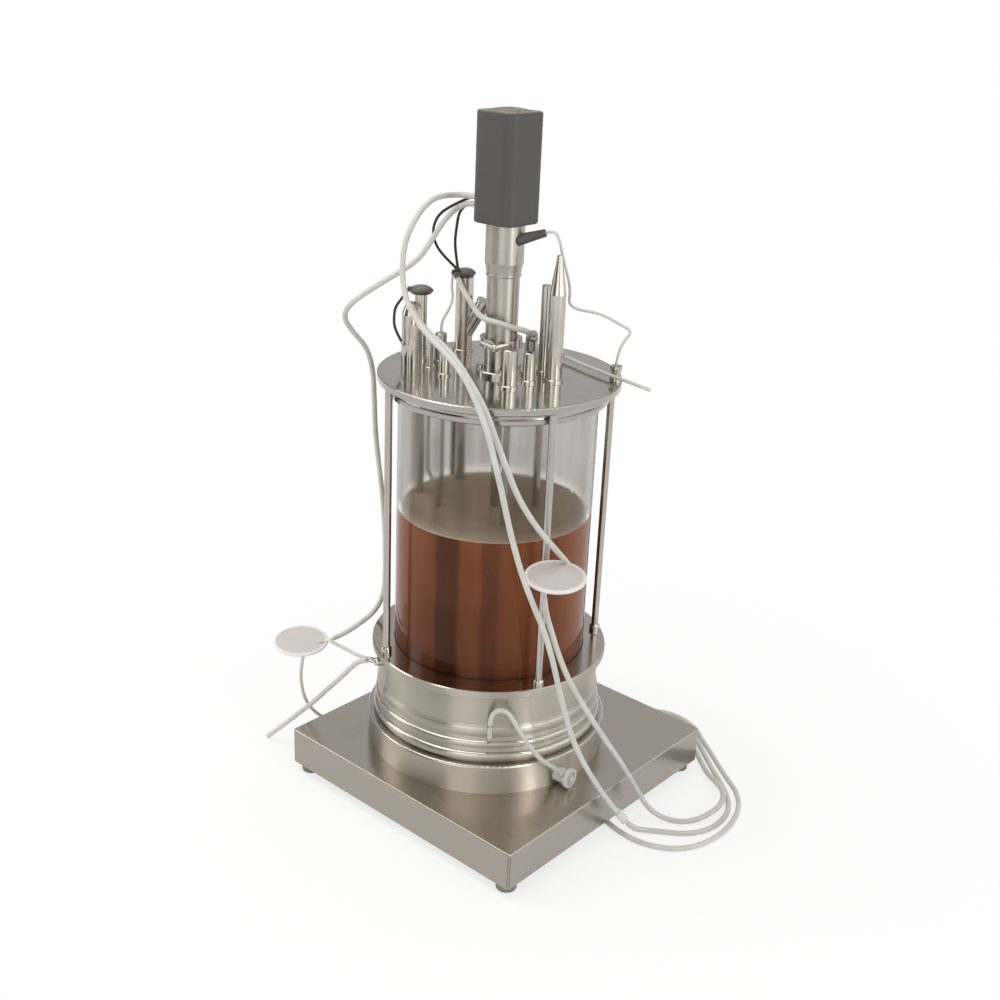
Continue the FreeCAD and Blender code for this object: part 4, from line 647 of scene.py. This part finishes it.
def probe_finish():
    """Polished stem below, dark moulded cap above the port."""
    material, tree, shader = new_finish("probe_stem_and_cap")
    cap_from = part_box("headplate")[1].z + CAP_RISE
    upper = placed_group(tree, ABOVE_HEIGHT, Height=cap_from, Blend=0.001)["Mask"]
    worn = handled_mask(tree, CAP_MARKS)
    dust = placed_group(tree, SETTLED_DUST, Amount=CAP_DUST, Size=80.0)["Mask"]
    cap = blended_colour(tree, dust, blended_colour(tree, worn, *CAP_TONES), DUST)
    stem = blended_colour(tree, worn, (0.50, 0.47, 0.43), (0.44, 0.41, 0.37))
    link(tree, blended_colour(tree, upper, stem, cap), shader.inputs["Base Color"])
    link(tree, stretch_range(tree, upper, 0.0, 1.0, 1.0, 0.0), shader.inputs["Metallic"])
    link(tree, stretch_range(tree, upper, 0.0, 1.0, 0.22, 0.48), shader.inputs["Roughness"])
    return material


# ---------------------------------------------------------------- glass and culture liquid
LIQUID_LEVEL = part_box("culture_liquid")[1].z
GLASS_STREAKS = (60.0, 60.0, 4.0)
CLEAR_GLASS = (0.93, 0.925, 0.91)
FOGGED_GLASS = ((0.70, 0.69, 0.66), (0.40, 0.382, 0.345))
GLASS_SHADOW = (0.92, 0.92, 0.90)
BROTH_TONES = ((0.385, 0.124, 0.045), (0.29, 0.088, 0.031))
BROTH_SHADE = (0.065, 0.020, 0.008)
# Paler, greyer colour of the liquid's top layer: a painted sheen of its surface.
TOP_SHEEN_TONES = ((0.56, 0.44, 0.34), (0.38, 0.29, 0.215))
TOP_SHEEN_DEPTH = 0.0022
PIPE_WANDER = 0.004
# Painted light and shade round the broth, from 0 to 1 of a turn: low where a pipe inside stands near
# the wall, as painted pipe shadows.
PIPE_SHADOWS = (
    (0.0, 0.6), (0.06, 0.9), (0.10, 0.5), (0.17, 0.75), (0.235, 0.62), (0.262, 0.55),
    (0.274, 0.12), (0.305, 0.10), (0.318, 0.62), (0.345, 0.72), (0.354, 0.36), (0.372, 0.42),
    (0.385, 0.80), (0.44, 0.86), (0.458, 0.62), (0.53, 1.0), (0.62, 0.3), (0.70, 0.8),
    (0.78, 0.2), (0.90, 0.85), (1.0, 0.6))


def let_light_through(tree, shader, tint):
    """Clear to the lamps' shadows, so that what stands inside is lit as through real glass."""
    clear = node(tree, "ShaderNodeBsdfTransparent")
    feed(tree, tint, clear.inputs["Color"])
    path = node(tree, "ShaderNodeLightPath")
    surface = blended_shader(tree, path.outputs["Is Shadow Ray"], shader.outputs[0],
                             clear.outputs[0])
    link(tree, surface, tree.nodes["Material Output"].inputs["Surface"])


def glass_finish():
    """Borosilicate wall: clear where the liquid wets it, fogged and streaked above."""
    material, tree, shader = new_finish("vessel_glass")
    shader.inputs["Transmission Weight"].default_value = 1.0
    shader.inputs["IOR"].default_value = 1.23
    drawn = vector_maths(tree, "MULTIPLY", place_on_piece(tree), GLASS_STREAKS)
    streak = noise(tree, drawn, 1.0, 4.0)
    handled = handled_mask(tree, (9.0, 0.40, 0.66))
    film = maths(tree, "MULTIPLY", stretch_range(tree, streak, 0.38, 0.7, 0.0, 1.0),
                 stretch_range(tree, handled, 0.0, 1.0, 0.35, 1.0))
    fogged = placed_group(tree, ABOVE_HEIGHT, Height=LIQUID_LEVEL, Blend=0.012)["Mask"]
    bloom = blended_colour(tree, film, *FOGGED_GLASS)
    link(tree, blended_colour(tree, fogged, CLEAR_GLASS, bloom), shader.inputs["Base Color"])
    haze = maths(tree, "MULTIPLY", stretch_range(tree, film, 0.0, 1.0, 0.10, 0.22), fogged)
    link(tree, haze, shader.inputs["Roughness"])
    let_light_through(tree, shader, GLASS_SHADOW)
    return material


def broth_finish():
    """Orange-brown culture with painted pipe shadows, and a paler greyer top as a painted sheen."""
    material, tree, shader = new_finish("culture_broth")
    shader.inputs["Transmission Weight"].default_value = 0.32
    shader.inputs["IOR"].default_value = 1.12
    handled = handled_mask(tree, (8.0, 0.35, 0.7))
    place = place_on_piece(tree)
    parts = xyz_of(tree, vector_maths(tree, "SUBTRACT", place, AXIS))
    drift = noise(tree, place, 14.0, 3.0)
    wander = stretch_range(tree, drift, 0.3, 0.7, -PIPE_WANDER, PIPE_WANDER)
    turn = maths(tree, "ADD", share_of_turn(tree, parts), wander)
    # Painted pipe shadows: the broth's colour darkens by its angle round the axis.
    shadows = grey_ramp(tree, turn, PIPE_SHADOWS)
    body = blended_colour(tree, shadows, BROTH_SHADE, blended_colour(tree, handled, *BROTH_TONES))
    # The top layer is painted paler and greyer, as a painted sheen.
    film = placed_group(tree, ABOVE_HEIGHT, Height=LIQUID_LEVEL - TOP_SHEEN_DEPTH, Blend=0.0003)["Mask"]
    painted_top_sheen = blended_colour(tree, handled, *TOP_SHEEN_TONES)
    link(tree, blended_colour(tree, film, body, painted_top_sheen), shader.inputs["Base Color"])
    link(tree, stretch_range(tree, film, 0.0, 1.0, 0.06, 0.22), shader.inputs["Roughness"])
    return material


front_filter_plastic = filter_finish("front_filter_plastic", "front_filter")
left_filter_plastic = filter_finish("left_filter_plastic", "left_filter")
probe_metal = probe_finish()
vessel_glass = glass_finish()
culture_broth = broth_finish()

FINISHES = {
    base_sheet: ["base_housing", "base_bottom_plate"],
    jacket_steel: ["jacket_shell", "lower_bowl", "plinth_ring"],
    mirror_steel: ["headplate", "clamp_ring"],
    rod_steel: ["tie_rods", "agitator_shaft", "motor_shaft", "turbines"],
    turned_steel: ["base_nipples", "cap_screws", "rod_collars", "seal_housing", "shaft_bearings",
                   "left_port", "rear_port", "condenser", "thermowell", "nipple_ports",
                   "angled_port", "feed_wye", "sparger", "jacket_outlet", "jacket_inlet",
                   "column_clamp", "rim_fitting"],
    column_steel: ["drive_column", "drive_collar"],
    coupling_metal: ["shaft_coupling"],
    motor_paint: ["motor_housing"],
    dark_plastic: ["cable_gland", "column_plug"],
    probe_metal: ["probes"],
    front_filter_plastic: ["front_filter"],
    left_filter_plastic: ["left_filter"],
    clear_plastic: ["line_connector", "outlet_connector"],
    foot_rubber: ["base_feet"],
    seal_rubber: ["glass_seals"],
    vessel_glass: ["glass_cylinder"],
}
LINE_FINISHES = {"silicone": silicone, "cable_rubber": cable_rubber}


def paint(piece, material):
    if piece.data.materials:
        for index in range(len(piece.data.materials)):
            piece.data.materials[index] = material
    else:
        piece.data.materials.append(material)


for material, node_names in FINISHES.items():
    for node_name in node_names:
        paint(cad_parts[node_name], material)
for line_name, _, _, slot, _, _ in LINE_FACTS:
    paint(lines[line_name], LINE_FINISHES[slot])


# ---------------------------------------------------------------- shape of the culture liquid
LIQUID_SIDES = 160
DISH_STEPS = 10
# The liquid reaches over the part's clearance until it wets the glass.
WETTING = 0.00045
# From the bowl's flange down to where its dished bottom starts, and the clearance there.
BOWL_STRAIGHT = 0.034
BOWL_CLEARANCE = 0.0003
MENISCUS_START = 0.003
MENISCUS_CLIMB = 0.0002
# Share of the radius and height over the level, where the meniscus runs out.
MENISCUS = ((0.995, 0.0), (0.985, -0.0006), (0.96, -0.0009))
SURFACE_SHARES = (0.86, 0.74, 0.62, 0.5, 0.38, 0.26, 0.14)
SURFACE_DROP = 0.0010
RIPPLE = 0.00025


def ring_of(mesh, radius, height, ripple):
    """Ring of points, lifted by two slow waves that cross each other."""
    made = []
    for index in range(LIQUID_SIDES):
        turn = 2 * math.pi * index / LIQUID_SIDES
        long_wave = math.sin(3 * turn + radius * 90)
        short_wave = math.sin(5 * turn - radius * 140)
        lift = ripple * (long_wave + 0.6 * short_wave)
        made.append(mesh.verts.new((VESSEL_AXIS[0] + radius * math.cos(turn),
                                    VESSEL_AXIS[1] + radius * math.sin(turn), height + lift)))
    return made


def liquid_profile(radius, floor, level):
    """Rings of the liquid from the bottom up, as radius, height and ripple."""
    dish_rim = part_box("lower_bowl")[1].z - BOWL_STRAIGHT + BOWL_CLEARANCE
    shares = [step / DISH_STEPS for step in range(1, DISH_STEPS + 1)]
    profile = [(radius * share, floor + (dish_rim - floor) * share * share, 0.0)
               for share in shares]
    profile += [(radius, level - MENISCUS_START, 0.0), (radius, level + MENISCUS_CLIMB, 0.0)]
    profile += [(radius * share, level + rise, 0.0) for share, rise in MENISCUS]
    profile += [(radius * share, level - SURFACE_DROP, RIPPLE) for share in SURFACE_SHARES]
    return profile


def pour_liquid():
    """Closed body of liquid: dished bottom, straight side, meniscus and a gently moving top."""
    low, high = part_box("culture_liquid")
    radius = (high.x - low.x) / 2 + WETTING
    mesh = bmesh.new()
    rings = [ring_of(mesh, *step) for step in liquid_profile(radius, low.z, high.z)]
    bottom = mesh.verts.new((*VESSEL_AXIS, low.z))
    top = mesh.verts.new((*VESSEL_AXIS, high.z - SURFACE_DROP))
    for index in range(LIQUID_SIDES):
        after = (index + 1) % LIQUID_SIDES
        for lower, upper in zip(rings, rings[1:]):
            mesh.faces.new((lower[index], lower[after], upper[after], upper[index]))
        mesh.faces.new((bottom, rings[0][after], rings[0][index]))
        mesh.faces.new((top, rings[-1][index], rings[-1][after]))
    bmesh.ops.recalc_face_normals(mesh, faces=mesh.faces)
    data = bpy.data.meshes.new("culture_broth")
    mesh.to_mesh(data)
    mesh.free()
    for face in data.polygons:
        face.use_smooth = True
    liquid = bpy.data.objects.new("culture_broth", data)
    into_scene(liquid)
    paint(liquid, culture_broth)
    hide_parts("culture_liquid")
    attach(liquid, STAND)


pour_liquid()


# ---------------------------------------------------------------- studio
WHITE = (1.0, 1.0, 1.0)
FLOOR_TONE = (0.92, 0.92, 0.92)
FLOOR_RADIUS = 6.0
FLOOR_SIDES = 96
FLOOR_GAP = 0.0003
# The shadow shows most within the first distance and is gone at the second.
SHADOW_REACH = (0.25, 0.75)
WHITE_IN_SHADOW = 0.72
ROOM_FILL = (1.0, 0.99, 0.975)
ROOM_FILL_STRENGTH = 0.72
ROOM_CEILING = (0.52, 0.515, 0.50)
CEILING_START = 0.35
CEILING_FULL = 0.90
# Soft boxes and dark walls round the vessel, as a grey level from 0 to 1 of a turn.
ROOM_PANELS = (
    (0.0, 0.32), (0.075, 0.55), (0.15, 0.42), (0.19, 0.18), (0.222, 0.0), (0.255, 0.05),
    (0.285, 2.1), (0.33, 2.1), (0.36, 1.3), (0.43, 0.85), (0.475, 2.2), (0.54, 2.2), (0.59, 1.6),
    (0.67, 0.90), (0.75, 0.60), (0.864, 0.53), (1.0, 0.32))


def floor_finish():
    """Pale floor: white to the eye, to metal and through glass, with a soft shadow kept."""
    material, tree, shader = new_finish("pale_floor")
    feed(tree, FLOOR_TONE, shader.inputs["Base Color"])
    shader.inputs["Roughness"].default_value = 0.9
    shader.inputs["Specular IOR Level"].default_value = 0.0
    glow = node(tree, "ShaderNodeEmission")
    feed(tree, WHITE, glow.inputs["Color"])
    path = node(tree, "ShaderNodeLightPath").outputs
    direct = maths(tree, "MAXIMUM", path["Is Camera Ray"], path["Is Transmission Ray"])
    seen = maths(tree, "MAXIMUM", direct, path["Is Glossy Ray"])
    reach = vector_maths(tree, "LENGTH", place_on_piece(tree))
    fade = stretch_range(tree, reach, *SHADOW_REACH, WHITE_IN_SHADOW, 1.0)
    surface = blended_shader(tree, maths(tree, "MULTIPLY", seen, fade), shader.outputs["BSDF"],
                             glow.outputs[0])
    link(tree, surface, tree.nodes["Material Output"].inputs["Surface"])
    material.cycles.emission_sampling = "NONE"
    return material


def lay_floor():
    mesh = bmesh.new()
    bmesh.ops.create_circle(mesh, cap_ends=True, radius=FLOOR_RADIUS, segments=FLOOR_SIDES)
    data = bpy.data.meshes.new("studio_floor")
    mesh.to_mesh(data)
    mesh.free()
    floor = bpy.data.objects.new("studio_floor", data)
    floor.location.z = -FLOOR_GAP
    into_scene(floor)
    floor.data.materials.append(floor_finish())


def background(tree, tone, strength=1.0):
    made = node(tree, "ShaderNodeBackground")
    feed(tree, tone, made.inputs["Color"])
    made.inputs["Strength"].default_value = strength
    return made.outputs[0]


def light_world():
    """White to the eye; a room of soft bright panels to polished metal."""
    world = bpy.data.worlds.new("studio_room")
    world.use_nodes = True
    bpy.context.scene.world = world
    tree = world.node_tree
    tree.nodes.clear()
    parts = xyz_of(tree, node(tree, "ShaderNodeTexCoord").outputs["Generated"])
    panels = grey_ramp(tree, share_of_turn(tree, parts), ROOM_PANELS)
    upward = stretch_range(tree, parts["Z"], CEILING_START, CEILING_FULL, 0.0, 1.0)
    room = blended_colour(tree, upward, panels, ROOM_CEILING)
    path = node(tree, "ShaderNodeLightPath").outputs
    lit = blended_shader(tree, path["Is Glossy Ray"],
                         background(tree, ROOM_FILL, ROOM_FILL_STRENGTH), background(tree, room))
    direct = maths(tree, "MAXIMUM", path["Is Camera Ray"], path["Is Transmission Ray"])
    output = node(tree, "ShaderNodeOutputWorld")
    link(tree, blended_shader(tree, direct, lit, background(tree, WHITE)), output.inputs["Surface"])


LAMP_AIM = Vector((0.0, 0.0, 0.30))
# Name, place and size in metres, and power in watts.
LAMPS = (
    ("ceiling_lamp", (-0.5, -0.6, 2.4), (1.8, 1.8), 22.0),
    ("left_lamp", (-1.9, -1.3, 1.3), (0.9, 1.6), 9.0),
    ("right_strip", (1.7, -0.2, 1.0), (0.25, 1.6), 5.0),
)


def hang_lamp(name, place, size, power):
    """Soft rectangular lamp that looks at the vessel."""
    data = bpy.data.lights.new(name, "AREA")
    data.shape = "RECTANGLE"
    data.size, data.size_y = size
    data.energy = power
    lamp = bpy.data.objects.new(name, data)
    lamp.location = place
    lamp.rotation_euler = (LAMP_AIM - Vector(place)).to_track_quat("-Z", "Y").to_euler()
    into_scene(lamp)


lay_floor()
light_world()
for lamp_facts in LAMPS:
    hang_lamp(*lamp_facts)

bpy.context.scene.view_settings.view_transform = "Standard"
